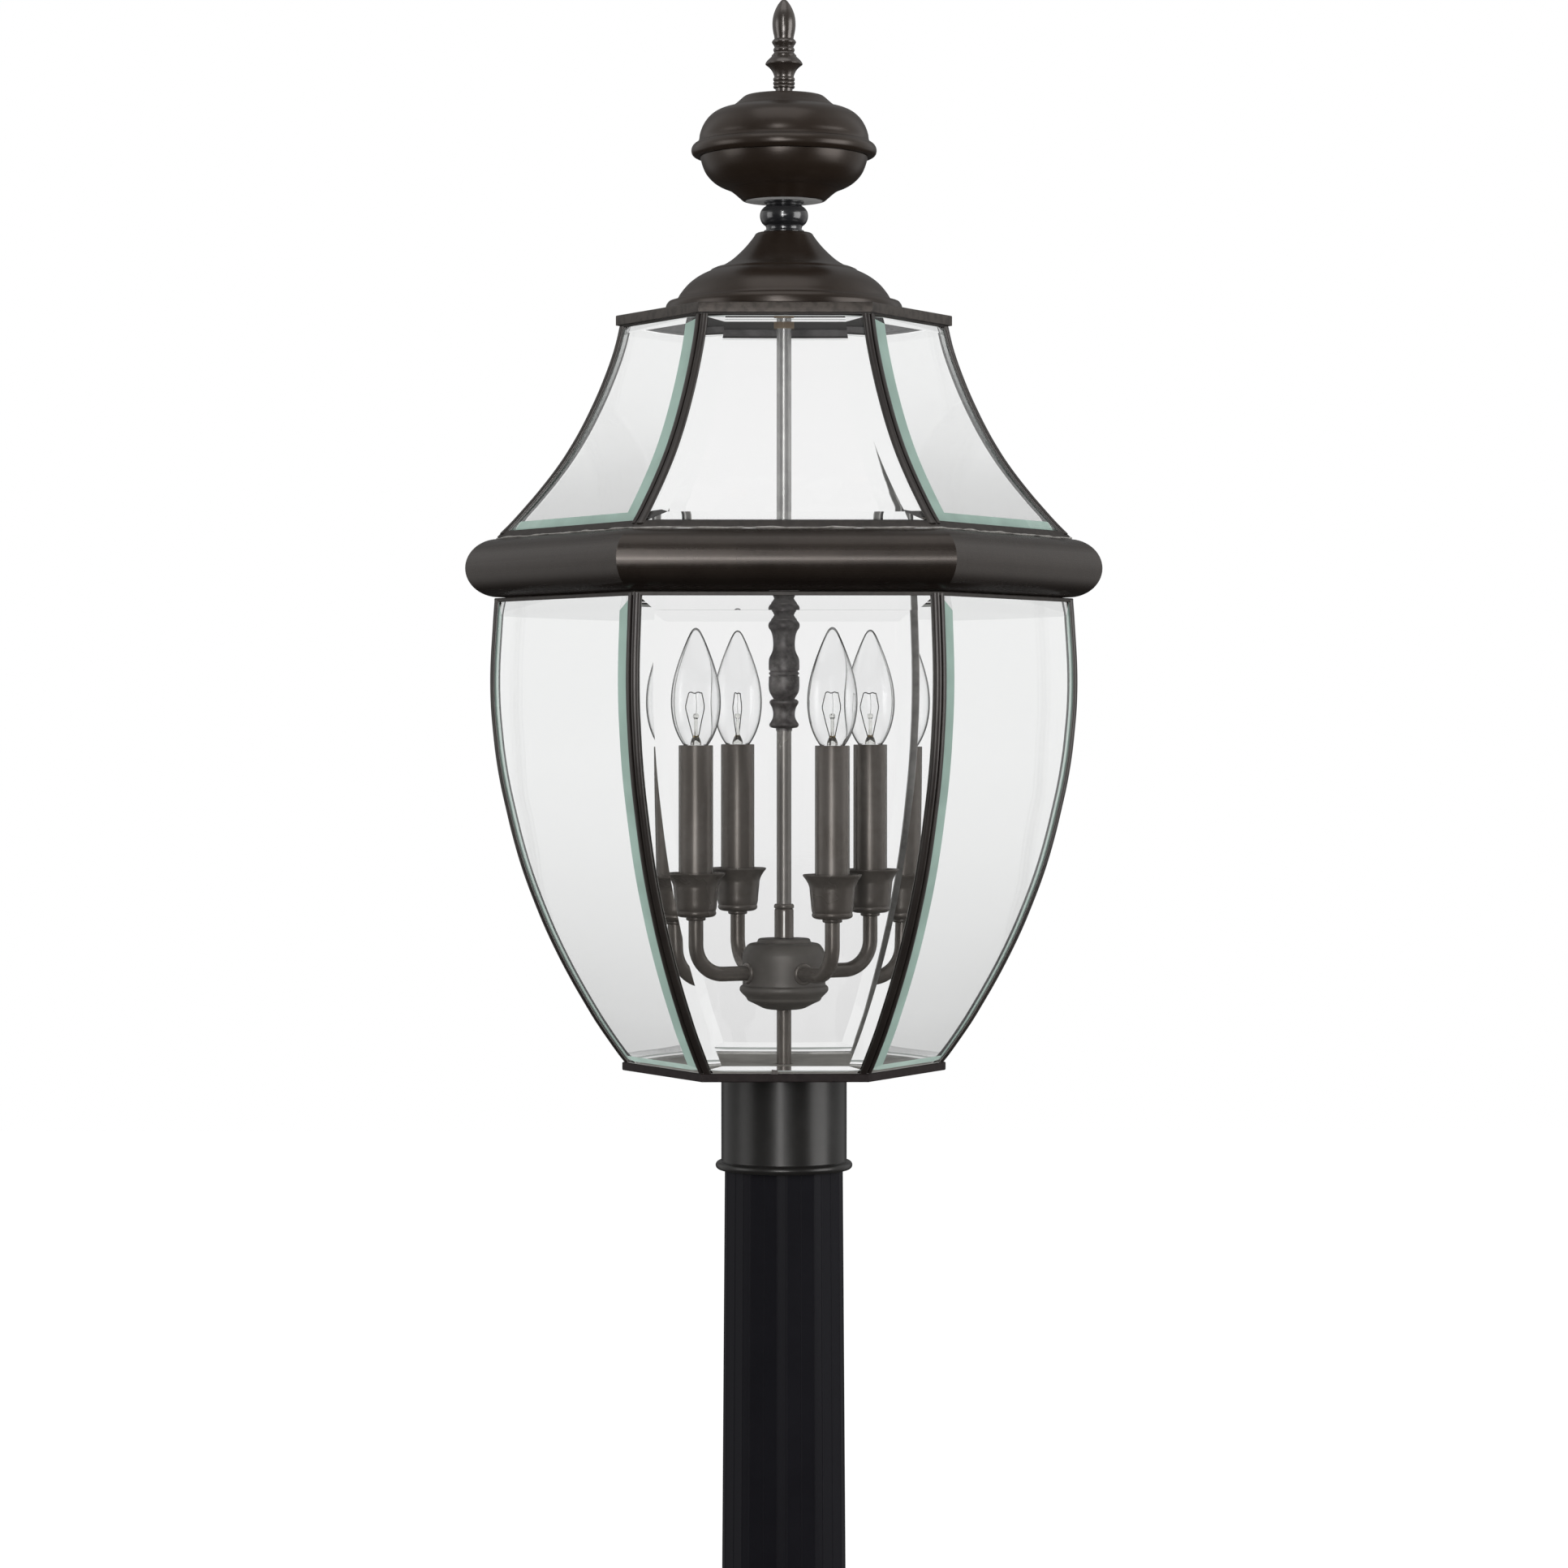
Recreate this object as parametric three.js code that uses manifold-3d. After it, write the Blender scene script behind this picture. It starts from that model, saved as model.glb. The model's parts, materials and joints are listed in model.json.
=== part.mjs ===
// Hexagonal post-top lantern with bent, bevelled glass, four candle lamps and a
// spun dome, ball and finial, standing on the top of a fluted post.
// Millimetres, +Z up, origin at the centre of the post's cut foot.
// One face of the hexagon looks along -Y; its corners lie at 0, 60, 120 ... degrees.
// Angles are in degrees; azimuths run from +X towards +Y.
// Every profile is a table of [radius, z]; on hexagonal parts the radius is to the corner.
import * as THREE from 'three';
import { mergeVertices } from 'three/addons/utils/BufferGeometryUtils.js';
import Module from 'manifold-3d';

const wasm = await Module();
wasm.setup();

// ---------------------------------------------------------------- shared dimensions
const COLLAR_R = 40.05;
const ROD_R = 4.65;
const ROD_CLEAR_R = 5.1;        // bore of the parts threaded on the rod
const ROD_Z0 = 421.4;
const HUB_Z = 399.6;            // arm axis height
const HUB_R = 26.5;
const LAMP_RADIUS = 63.2;       // lamp axes from the rod
const LAMP_AZ = [28, 118, 208, 298];
const CUP_Z0 = 436.4;           // underside of the cup's bowl

// ---------------------------------------------------------------- materials
const standard = (settings) => new THREE.MeshStandardMaterial(settings);
const BRONZE = standard({ color: 0x463f39, roughness: 0.42, metalness: 0.85 });
const BRONZE_DARK = standard({ color: 0x2c2522, roughness: 0.4, metalness: 0.85 });
const BLACK = standard({ color: 0x1d1b1e, roughness: 0.3, metalness: 0.6 });
const POST_BLACK = standard({ color: 0x1e1e22, roughness: 0.45, metalness: 0.4 });
const INNER_METAL = standard({ color: 0x5b5550, roughness: 0.5, metalness: 0.8 });
const GLASS = standard({
  color: 0xe6edea, roughness: 0.05, metalness: 0, transparent: true, opacity: 0.3,
});
const BRASS = standard({ color: 0xb08d4a, roughness: 0.35, metalness: 1 });
const CERAMIC = standard({ color: 0xe4e0d6, roughness: 0.5, metalness: 0 });
const CABLE = standard({ color: 0x17171a, roughness: 0.6, metalness: 0 });
const STEEL = standard({ color: 0x8d8a86, roughness: 0.35, metalness: 1 });

// ---------------------------------------------------------------- helpers
const rad = (degrees) => (degrees * Math.PI) / 180;
const v2 = (x, y) => new THREE.Vector2(x, y);
const COS_30 = Math.cos(rad(30)); // across-flats half distance over corner radius
const SIN_30 = 0.5;
const TAN_30 = Math.tan(rad(30));

function signedVolume(position, triangles) {
  let sum = 0;
  for (let i = 0; i < triangles.length; i += 3) {
    const [p, q, r] = [0, 1, 2].map((k) => (
      new THREE.Vector3().fromBufferAttribute(position, triangles[i + k])
    ));
    sum += p.dot(q.cross(r));
  }
  return sum;
}

// closed solid from a geometry: positions only, shared vertices merged, facing outwards
function solid(geometry) {
  const bare = geometry.clone();
  bare.deleteAttribute('normal');
  bare.deleteAttribute('uv');
  const merged = mergeVertices(bare, 1e-4);
  const position = merged.getAttribute('position');
  const index = merged.getIndex().array;
  const triangles = [];
  for (let i = 0; i < index.length; i += 3) {
    const [a, b, c] = [index[i], index[i + 1], index[i + 2]];
    if (a !== b && b !== c && c !== a) triangles.push(a, b, c);
  }
  if (signedVolume(position, triangles) < 0) {
    for (let i = 0; i < triangles.length; i += 3) {
      [triangles[i], triangles[i + 1]] = [triangles[i + 1], triangles[i]];
    }
  }
  return new wasm.Manifold(new wasm.Mesh({
    numProp: 3,
    vertProperties: new Float32Array(position.array),
    triVerts: new Uint32Array(triangles),
  }));
}

function geometryOf(manifold) {
  const { vertProperties, triVerts } = manifold.getMesh();
  const geometry = new THREE.BufferGeometry();
  geometry.setAttribute(
    'position',
    new THREE.BufferAttribute(new Float32Array(vertProperties), 3),
  );
  geometry.setIndex(new THREE.BufferAttribute(new Uint32Array(triVerts), 1));
  geometry.computeVertexNormals();
  return geometry;
}

const root = new THREE.Group();
function add(name, manifold, material, parent = root) {
  const mesh = new THREE.Mesh(geometryOf(manifold), material);
  mesh.name = name;
  parent.add(mesh);
}

// solid turned about Z from a profile that starts and ends on the axis, or is closed
function turned(profile, segments, phase = 0) {
  const geometry = new THREE.LatheGeometry(profile.map(([r, z]) => v2(r, z)), segments);
  geometry.rotateX(Math.PI / 2);
  geometry.rotateZ(rad(phase));
  return solid(geometry);
}
// turned from a section that is closed here by repeating its first point
const ring = (profile, segments, phase) => turned([...profile, profile[0]], segments, phase);
const HEX_PHASE = 30; // puts a corner on +X
const hexRing = (profile) => ring(profile, 6, HEX_PHASE);
const rectangle = (r0, r1, z0, z1) => [[r0, z0], [r1, z0], [r1, z1], [r0, z1]];

function cylinder(radius, z0, z1, segments) {
  const geometry = new THREE.CylinderGeometry(radius, radius, z1 - z0, segments);
  geometry.rotateX(Math.PI / 2);
  geometry.translate(0, 0, (z0 + z1) / 2);
  return solid(geometry);
}

const hexNut = ({ cornerR, z0, z1, boreZ0, boreZ1 }) => (
  cylinder(cornerR, z0, z1, 6).subtract(cylinder(ROD_CLEAR_R, boreZ0, boreZ1, 16))
);

// cut one radial hole per azimuth; length is the cutter's, centred at the given distance
function drillRadially(body, azimuths, { radius, length, distance, z }) {
  return azimuths.reduce((drilled, azimuth) => {
    const cutter = new THREE.CylinderGeometry(radius, radius, length, 8);
    cutter.rotateZ(Math.PI / 2);
    cutter.translate(distance, 0, z);
    cutter.rotateZ(rad(azimuth));
    return drilled.subtract(solid(cutter));
  }, body);
}

// circle of points, counter-clockwise for sense 1 and clockwise for -1
function circle(radius, count, sense = 1) {
  return Array.from({ length: count }, (_, i) => {
    const angle = (sense * 2 * Math.PI * i) / count;
    return v2(radius * Math.cos(angle), radius * Math.sin(angle));
  });
}

// extrude with one layer per height; place(x, y, z) gives each vertex its final [x, y]
function extrudeAtHeights(shape, heights, place) {
  const steps = heights.length - 1;
  const geometry = new THREE.ExtrudeGeometry(shape, { depth: steps, steps, bevelEnabled: false });
  const position = geometry.getAttribute('position');
  for (let i = 0; i < position.count; i++) {
    const z = heights[Math.round(position.getZ(i))];
    const [x, y] = place(position.getX(i), position.getY(i), z);
    position.setXYZ(i, x, y, z);
  }
  return geometry;
}

// ---------------------------------------------------------------- post
const POST_FOOT_R = 40.25;
const POST_TOP_R = 37.9;        // inside the collar
const POST_TOP_Z = 331;
const POST_BORE_RATIO = 0.905;  // inner radius over outer radius
const POST_FLUTES = 10;
const POST_FLUTE_PHASE = -92.5; // centre of one land between two flutes
const LAND_ANGLE = 9;           // width of a land
const FLUTE_SIDE_ANGLE = 5;     // from a land's edge to the flute's side point
const FLUTE_DEPTH = 0.032;      // as a share of the radius
const FLUTE_SIDE_DEPTH = FLUTE_DEPTH * 0.65;

function postSolid() {
  const pitch = 360 / POST_FLUTES;
  const landEdge = LAND_ANGLE / 2;
  // one land and the flute after it: angle from the land's centre, share of the radius
  const flute = [
    [-landEdge, 1],
    [landEdge, 1],
    [landEdge + FLUTE_SIDE_ANGLE, 1 - FLUTE_SIDE_DEPTH],
    [pitch / 2, 1 - FLUTE_DEPTH],
    [pitch - landEdge - FLUTE_SIDE_ANGLE, 1 - FLUTE_SIDE_DEPTH],
  ];
  const outline = [];
  for (let i = 0; i < POST_FLUTES; i++) {
    for (const [offset, share] of flute) {
      const angle = rad(POST_FLUTE_PHASE + i * pitch + offset);
      const r = POST_FOOT_R * share;
      outline.push(v2(r * Math.cos(angle), r * Math.sin(angle)));
    }
  }
  const shape = new THREE.Shape(outline);
  shape.holes.push(new THREE.Path(circle(POST_FOOT_R * POST_BORE_RATIO, 30, -1)));
  return solid(extrudeAtHeights(shape, [0, POST_TOP_Z], (x, y, z) => {
    const taper = 1 + (POST_TOP_R / POST_FOOT_R - 1) * (z / POST_TOP_Z);
    return [x * taper, y * taper];
  }));
}
add('post', postSolid(), POST_BLACK);

// ---------------------------------------------------------------- collar and screws
const COLLAR_BORE_R = 38.65;
const COLLAR_TOP_Z = 338.2;
const COLLAR_TOP_T = 2;
const BEAD_R = 41.1;            // centre circle of the rolled bead
const BEAD_MINOR = 2.6;
const BEAD_Z = 276.1;
const BEAD_ANGLES = [-110, -60, -20, 20, 60, 100];
const SCREW_Z = 306;
const SCREW_AZ = [35, 90, 145];
const SCREW_INNER_END_R = 38.45; // shank end from the post's axis

function collarSolid() {
  const bead = BEAD_ANGLES.map((angle) => [
    BEAD_R + BEAD_MINOR * Math.cos(rad(angle)),
    BEAD_Z + BEAD_MINOR * Math.sin(rad(angle)),
  ]);
  const collar = ring([
    [COLLAR_BORE_R, BEAD_Z - 1.9],
    ...bead,
    [COLLAR_R, BEAD_Z + 2.9],
    [COLLAR_R, COLLAR_TOP_Z],
    [ROD_CLEAR_R, COLLAR_TOP_Z],
    [ROD_CLEAR_R, COLLAR_TOP_Z - COLLAR_TOP_T],
    [COLLAR_BORE_R, COLLAR_TOP_Z - COLLAR_TOP_T],
  ], 24);
  return drillRadially(collar, SCREW_AZ, {
    radius: 2.9, length: 10, distance: COLLAR_R, z: SCREW_Z,
  });
}
add('fitter_collar', collarSolid(), BRONZE);

// button-headed screw, [radius, distance outwards from the shank end]:
// shank through the collar wall, head outside
const SCREW_PROFILE = [
  [0, 0], [2.5, 0], [2.5, 3.9], [4.6, 3.9], [4.5, 5.2],
  [3.2, 6.4], [1.4, 6.6], [1.4, 5.2], [0, 5.2],
];
SCREW_AZ.forEach((azimuth, i) => {
  const screw = new THREE.LatheGeometry(SCREW_PROFILE.map(([r, out]) => v2(r, out)), 8);
  screw.rotateZ(-Math.PI / 2);
  screw.translate(SCREW_INNER_END_R, 0, SCREW_Z);
  screw.rotateZ(rad(azimuth));
  add(`set_screw_${i + 1}`, solid(screw), BRONZE_DARK);
});

// ---------------------------------------------------------------- floor plate
const FLOOR_Z = 338.6;          // underside
const FLOOR_T = 1.8;
const FLOOR_R = 97.6;
const FLOOR_BORE_R = ROD_CLEAR_R + 0.8;
add(
  'floor_plate',
  hexRing(rectangle(FLOOR_BORE_R, FLOOR_R, FLOOR_Z, FLOOR_Z + FLOOR_T)),
  INNER_METAL,
);

// ---------------------------------------------------------------- cages: bars and panes
// Each cage has a corner curve of [z, corner radius over the ribs]. Bars and panes
// share its stations, so they stay parallel all the way up.
const LOWER_CAGE = {
  name: 'lower',
  curve: [
    [337.1, 97.4], [354.7, 111.2], [379.5, 127.2], [404.3, 141.1], [435.3, 155.6],
    [478.7, 170.9], [528.4, 182.2], [584.0, 187.0], [637.4, 184.0],
  ],
  barZ: [340.9, 635.5],
  glassZ: [342.3, 633.1],
  rims: [
    [
      [93, 337.1], [103.2, 337.1], [103.2, 341.8], [99.2, 341.8],
      [99.2, 340.9], [98.2, 340.9], [98.2, 338.3], [93, 338.3],
    ],
    rectangle(174.5, 184.3, 633.6, 637.4),
  ],
};
const ROOF_CAGE = {
  name: 'roof',
  curve: [
    [675.7, 183.6], [689.7, 169.8], [706.0, 155.6], [727.0, 139.8], [753.0, 125.2],
    [783.0, 112.2], [811.0, 104.3],
  ],
  barZ: [678.0, 809.8],
  glassZ: [680.8, 808.7],
  rims: [
    rectangle(173.0, 182.2, 675.7, 680.2),
    rectangle(96.5, 104.6, 809.2, 810.4),
  ],
};
const RIB_PROUD = 1.1;          // ribs over the corner of the two panes
const GLASS_T = 2.8;
const GLASS_EDGE_T = 1.2;       // pane thickness at the edge of its bevel
const GLASS_BEVEL = 9.0;
const GLASS_INSET = 1.6;        // pane edge to the corner plane
const SEAT_GAP = 0.35;

// corner bar section; half widths are measured across the bar from its centre plane
const RIB_OFFSET = 2.5;         // rib centre from the corner, along the pane face
const RIB_R = 2.4;
const RIB_ANGLES = [128, 78, 28];
const OUTER_FLANGE_HALF = 4.2;
const INNER_FLANGE_HALF = 3.6;
const WEB_HALF = 1.15;
const VALLEY_RISE = 0.15;       // valley between the ribs, over the pane corner
const BAR_BACK = 2.6;           // inner flange's depth at the centre plane

function cornerRadiusAt(curve, height) {
  if (height <= curve[0][0]) return curve[0][1];
  for (let i = 1; i < curve.length; i++) {
    const [z0, r0] = curve[i - 1];
    const [z1, r1] = curve[i];
    if (height <= z1) return r0 + ((height - z0) / (z1 - z0)) * (r1 - r0);
  }
  return curve[curve.length - 1][1];
}

// curve stations more than a margin inside a height range
const stationsBetween = (curve, z0, z1, margin) => (
  curve.map(([z]) => z).filter((z) => z > z0 + margin && z < z1 - margin)
);

// H-shaped came with two half-round ribs outside; points are x outwards from the
// corner curve, y across the bar
function barShape() {
  const paneCorner = -RIB_PROUD;
  const seatBack = paneCorner - (GLASS_T / COS_30 + 2 * SEAT_GAP);
  const half = RIB_ANGLES.map((angle) => {
    const along = RIB_OFFSET + RIB_R * Math.cos(rad(angle));
    const proud = RIB_R * Math.sin(rad(angle));
    return [
      paneCorner - along * SIN_30 + proud * COS_30,
      along * COS_30 + proud * SIN_30,
    ];
  });
  const corners = [
    [paneCorner, OUTER_FLANGE_HALF], [paneCorner, WEB_HALF],
    [seatBack, WEB_HALF], [seatBack, INNER_FLANGE_HALF],
  ];
  for (const [x, y] of corners) half.push([x - y * TAN_30, y]);
  return new THREE.Shape([
    v2(paneCorner + VALLEY_RISE, 0),
    ...half.map(([x, y]) => v2(x, y)),
    v2(seatBack - BAR_BACK, 0),
    ...half.map(([x, y]) => v2(x, -y)).reverse(),
  ]);
}

// upright bar on +X, moved out to the corner curve height by height
function cornerBar(curve, [z0, z1]) {
  const heights = [z0, ...stationsBetween(curve, z0, z1, 1), z1];
  return extrudeAtHeights(barShape(), heights, (x, y, z) => [x + cornerRadiusAt(curve, z), y]);
}

// bent pane facing +X: straight across, curved in height, bevelled all round
function pane(curve, [z0, z1]) {
  // x: 0 inner face, 0.5 side edge of the bevel, 1 outer face
  // y: +-1 side edge, +-0.5 bevel line
  const shape = new THREE.Shape([
    v2(0, -1), v2(0.5, -1), v2(1, -0.5), v2(1, 0.5), v2(0.5, 1), v2(0, 1),
  ]);
  const stations = stationsBetween(curve, z0, z1, GLASS_BEVEL + 3);
  const heights = [z0, z0 + GLASS_BEVEL, ...stations, z1 - GLASS_BEVEL, z1];
  return extrudeAtHeights(shape, heights, (layer, side, z) => {
    const corner = cornerRadiusAt(curve, z) - RIB_PROUD - SEAT_GAP;
    const innerFace = corner * COS_30 - GLASS_T;
    const outerT = z === z0 || z === z1 ? GLASS_EDGE_T : GLASS_T;
    const thickness = { 0: 0, 0.5: GLASS_EDGE_T, 1: outerT }[layer];
    // half width on the inner face, the edge staying clear of the corner plane
    const edge = (innerFace / COS_30) * 0.5 - GLASS_INSET;
    const across = Math.abs(side) > 0.75 ? edge : edge - GLASS_BEVEL;
    return [innerFace + thickness, Math.sign(side) * across];
  });
}

for (const { name, curve, barZ, glassZ, rims } of [LOWER_CAGE, ROOF_CAGE]) {
  const parts = [];
  for (let i = 0; i < 6; i++) parts.push(solid(cornerBar(curve, barZ).rotateZ(rad(60 * i))));
  for (const rim of rims) parts.push(hexRing(rim));
  add(`${name}_frame`, parts.reduce((frame, part) => frame.add(part)), BRONZE_DARK);
  for (let i = 0; i < 6; i++) {
    const glass = pane(curve, glassZ).rotateZ(rad(270 + 60 * i));
    add(`${name}_glass_${i + 1}`, solid(glass), GLASS);
  }
}

// ---------------------------------------------------------------- band
// half-round moulding, mitred at the six corners, bent from sheet
const BAND_CENTRE_D = 157.2;    // across-flats half distance of the half-round's centre
const BAND_MINOR = 18.6;
const BAND_Z = 656.55;
const BAND_T = 1.8;

function bandArc(minor) {
  const points = [];
  for (let angle = -90; angle <= 90; angle += 22.5) {
    points.push([
      (BAND_CENTRE_D + minor * Math.cos(rad(angle))) / COS_30,
      BAND_Z + minor * Math.sin(rad(angle)),
    ]);
  }
  return points;
}
add('band', hexRing([...bandArc(BAND_MINOR), ...bandArc(BAND_MINOR - BAND_T).reverse()]), BRONZE);

// ---------------------------------------------------------------- roof top
const CAP_R = 107.0;
const CAP_INNER_R = CAP_R - 1.6;
const CAP_BORE_R = ROD_CLEAR_R + 1.0;
const CAP_Z0 = 810.7;
const CAP_Z1 = 817.1;
const CAP_T = 1.5;
add('roof_cap', hexRing([
  [CAP_BORE_R, CAP_Z1 - CAP_T], [CAP_INNER_R, CAP_Z1 - CAP_T], [CAP_INNER_R, CAP_Z0],
  [CAP_R, CAP_Z0], [CAP_R, CAP_Z1 - 0.5], [CAP_R - 0.6, CAP_Z1], [CAP_BORE_R, CAP_Z1],
]), BRONZE_DARK);

// spun shell: up the outside, back down the inside
const DOME_PROFILE = [
  [75.0, 817.4], [75.6, 822.0], [74.6, 826.2], [69.0, 827.6], [64.6, 833.2], [57.8, 840.6],
  [46.7, 846.8], [40.7, 848.9], [30.5, 855.1], [22.4, 863.4], [17.4, 869.7],
  [ROD_CLEAR_R, 869.7], [ROD_CLEAR_R, 868.2], [16.6, 868.2], [28.8, 854.4], [44.6, 846.2],
  [56.4, 839.6], [63.0, 832.2], [68.0, 826.0], [73.2, 824.8], [73.4, 817.4],
];
add('dome', ring(DOME_PROFILE, 20), BRONZE);

const NECK_PROFILE = [
  [ROD_CLEAR_R, 870.0], [12.9, 870.0], [12.6, 871.7], [11.3, 872.6], [11.4, 874.2],
  [13.6, 875.8], [14.7, 877.3], [15.45, 880.5], [14.9, 883.6], [13.9, 885.2],
  [11.6, 887.2], [11.1, 888.2], [12.7, 889.2], [12.7, 890.4], [ROD_CLEAR_R, 890.4],
];
add('neck', ring(NECK_PROFILE, 14), BLACK);

const BALL_LOWER_PROFILE = [
  [ROD_CLEAR_R, 890.7], [24.2, 890.7], [32.1, 896.0], [36.2, 898.4], [44.2, 902.1],
  [49.9, 908.4], [52.8, 915.6], [53.3, 917.6],
  [51.9, 917.6], [48.6, 909.0], [43.2, 903.4], [31.2, 897.4], [23.6, 892.1],
  [ROD_CLEAR_R, 892.1],
];
add('ball_lower', ring(BALL_LOWER_PROFILE, 20), BRONZE);

const BALL_UPPER_PROFILE = [
  [52.0, 917.9], [57.6, 918.4], [58.8, 921.6], [57.6, 925.4], [54.2, 928.4], [53.2, 933.2],
  [49.6, 940.9], [43.1, 947.1], [34.2, 950.8], [31.0, 952.9], [25.4, 957.8],
  [3.4, 957.8], [3.4, 956.4], [24.8, 956.4], [30.4, 951.4], [42.2, 945.8],
  [48.4, 940.0], [51.9, 932.6], [52.6, 927.0], [52.2, 919.4],
];
add('ball_upper', ring(BALL_UPPER_PROFILE, 20), BRONZE);

// starts with the blind bore that takes the rod's tip
const FINIAL_PROFILE = [
  [0, 969.6], [3.25, 969.6], [3.25, 958.1], [5.6, 958.1], [5.5, 961.3], [6.8, 962.7],
  [6.1, 963.9], [6.8, 965.2], [6.1, 966.5], [6.8, 967.8], [6.2, 969.2], [7.0, 972.0],
  [9.15, 975.1], [11.7, 977.7], [10.9, 979.2], [8.8, 981.3], [7.6, 983.0], [6.1, 985.3],
  [6.75, 986.4], [6.0, 988.2], [7.6, 991.5], [6.0, 993.7], [7.1, 998.8], [7.35, 1002.2],
  [6.8, 1008.1], [5.4, 1012.3], [2.9, 1016.4], [0, 1018.5],
];
add('finial', turned(FINIAL_PROFILE, 12), BRONZE);

// ---------------------------------------------------------------- rod and its fittings
const ROD_SHOULDER_Z = 955.9;   // the ball's top plate sits just above this shoulder
const ROD_TIP_R = 2.8;          // threaded tip that takes the finial
const ROD_TIP_Z = 968.0;
add('centre_rod', turned([
  [0, ROD_Z0], [ROD_R, ROD_Z0], [ROD_R, ROD_SHOULDER_Z],
  [ROD_TIP_R, ROD_SHOULDER_Z], [ROD_TIP_R, ROD_TIP_Z], [0, ROD_TIP_Z],
], 16), INNER_METAL);

add('roof_washer', ring(rectangle(ROD_CLEAR_R, 9.4, 813.6, 815.2), 12), INNER_METAL);
add('roof_nut', hexNut({ cornerR: 7.4, z0: 808, z1: 813.4, boreZ0: 800, boreZ1: 820 }), BRASS);

const BALUSTER_PROFILE = [
  [ROD_CLEAR_R, 554.1], [5.3, 554.1], [8.0, 555.1], [9.2, 556.2], [8.9, 558.0],
  [7.0, 563.2], [8.0, 568.2], [9.1, 571.2], [6.8, 573.4], [9.1, 578.0], [9.7, 581.2],
  [9.7, 586.6], [9.0, 588.4], [9.6, 589.6], [9.0, 591.0], [9.7, 592.4], [9.7, 597.8],
  [7.4, 603.8], [7.0, 609.5], [8.0, 615.4], [9.9, 619.9], [8.0, 624.2], [6.4, 627.0],
  [7.4, 631.0], [9.7, 635.8], [9.7, 640.6], [7.4, 643.6], [ROD_CLEAR_R, 643.6],
];
add('baluster', ring(BALUSTER_PROFILE, 12), INNER_METAL);

const COUPLING_PROFILE = [
  [ROD_CLEAR_R, ROD_Z0], [6.1, ROD_Z0], [6.1, 439.8], [5.6, 440.3], [6.3, 440.9],
  [6.3, 442.2], [5.7, 443.0], [ROD_CLEAR_R, 443.0],
];
add('rod_coupling', ring(COUPLING_PROFILE, 12), INNER_METAL);

// ---------------------------------------------------------------- hub and supply
// hollow hub with one hole per arm
const HUB_PROFILE = [
  [5.0, 377.0], [6.0, 376.2], [13.0, 377.4], [19.0, 379.8], [24.4, 384.2], [28.1, 387.6],
  [28.2, 390.0], [26.5, 391.4], [HUB_R, 411.6], [23.4, 417.0], [16.4, 418.2],
  [16.3, 421.1], [3.4, 421.1], [3.4, 418.4],
  [21.8, 415.0], [24.5, 410.8], [24.5, 388.4], [17.6, 381.8], [5.0, 379.2],
];
add('hub', drillRadially(ring(HUB_PROFILE, 16), LAMP_AZ, {
  radius: 5.1, length: 14, distance: HUB_R, z: HUB_Z,
}), INNER_METAL);
add('lower_pipe', ring(rectangle(3.2, ROD_R, 324, 386), 16), INNER_METAL);
add('floor_nut', hexNut({ cornerR: 10.4, z0: 329.8, z1: 335.8, boreZ0: 320, boreZ1: 345 }), STEEL);
add('supply_cable', cylinder(2.6, 2, 396, 10), CABLE);

// ---------------------------------------------------------------- arms and lamps
const ARM_R = 4.7;
const ARM_BORE_R = 3.4;
const ARM_BEND = 19;            // bend radius of the arm's axis
const ARM_START = 23.2;         // inner end from the rod's axis
const ARM_END_Z = CUP_Z0 - 2.4;

// arm axis with z from the hub axis: level out of the hub, then up to the cup
class ArmPath extends THREE.Curve {
  getPoint(t, target = new THREE.Vector3()) {
    const bendX = LAMP_RADIUS - ARM_BEND;
    const straight = bendX - ARM_START;
    const arc = (Math.PI / 2) * ARM_BEND;
    const rise = ARM_END_Z - HUB_Z - ARM_BEND;
    const travel = t * (straight + arc + rise);
    if (travel <= straight) return target.set(ARM_START + travel, 0, 0);
    if (travel <= straight + arc) {
      const angle = (travel - straight) / ARM_BEND;
      return target.set(
        bendX + ARM_BEND * Math.sin(angle),
        0,
        ARM_BEND * (1 - Math.cos(angle)),
      );
    }
    return target.set(LAMP_RADIUS, 0, ARM_BEND + (travel - straight - arc));
  }
}

function makeArm() {
  const shape = new THREE.Shape(circle(ARM_R, 10));
  shape.holes.push(new THREE.Path(circle(ARM_BORE_R, 6, -1)));
  const geometry = new THREE.ExtrudeGeometry(shape, {
    steps: 9, bevelEnabled: false, extrudePath: new ArmPath(),
  });
  geometry.translate(0, 0, HUB_Z);
  return solid(geometry);
}

const CUP_PROFILE = [
  [4.2, 434.3], [5.9, 434.5], [5.9, 436.1], [11.6, CUP_Z0], [13.0, 439.4], [14.4, 454.6],
  [18.5, 463.2], [18.3, 463.9], [13.4, 455.2], [12.0, 439.6], [4.2, 438.6],
];
const SOCKET_PROFILE = [
  [2.6, 502.0], [7.6, 502.0], [9.1, 508.0], [9.1, 541.6], [7.1, 541.6], [7.1, 513.0],
  [2.6, 513.0],
];
const BULB_GLASS_PROFILE = [
  [5.4, 541.0], [6.6, 541.0], [7.6, 545.6], [12.6, 557.2], [15.3, 566.6], [15.75, 573.6],
  [14.3, 586.6], [9.4, 602.6], [4.6, 613.4], [0, 617.9],
  [0, 616.5], [8.0, 602.6], [13.2, 586.2], [14.7, 573.5], [11.8, 558.4], [6.4, 545.6],
];
const BULB_BASE_PROFILE = [
  [0, 514.6], [3.0, 515.6], [5.9, 518.4], [5.9, 538.6], [5.0, 541.6], [5.0, 543.6], [0, 543.6],
];

const armSolid = makeArm();
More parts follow.
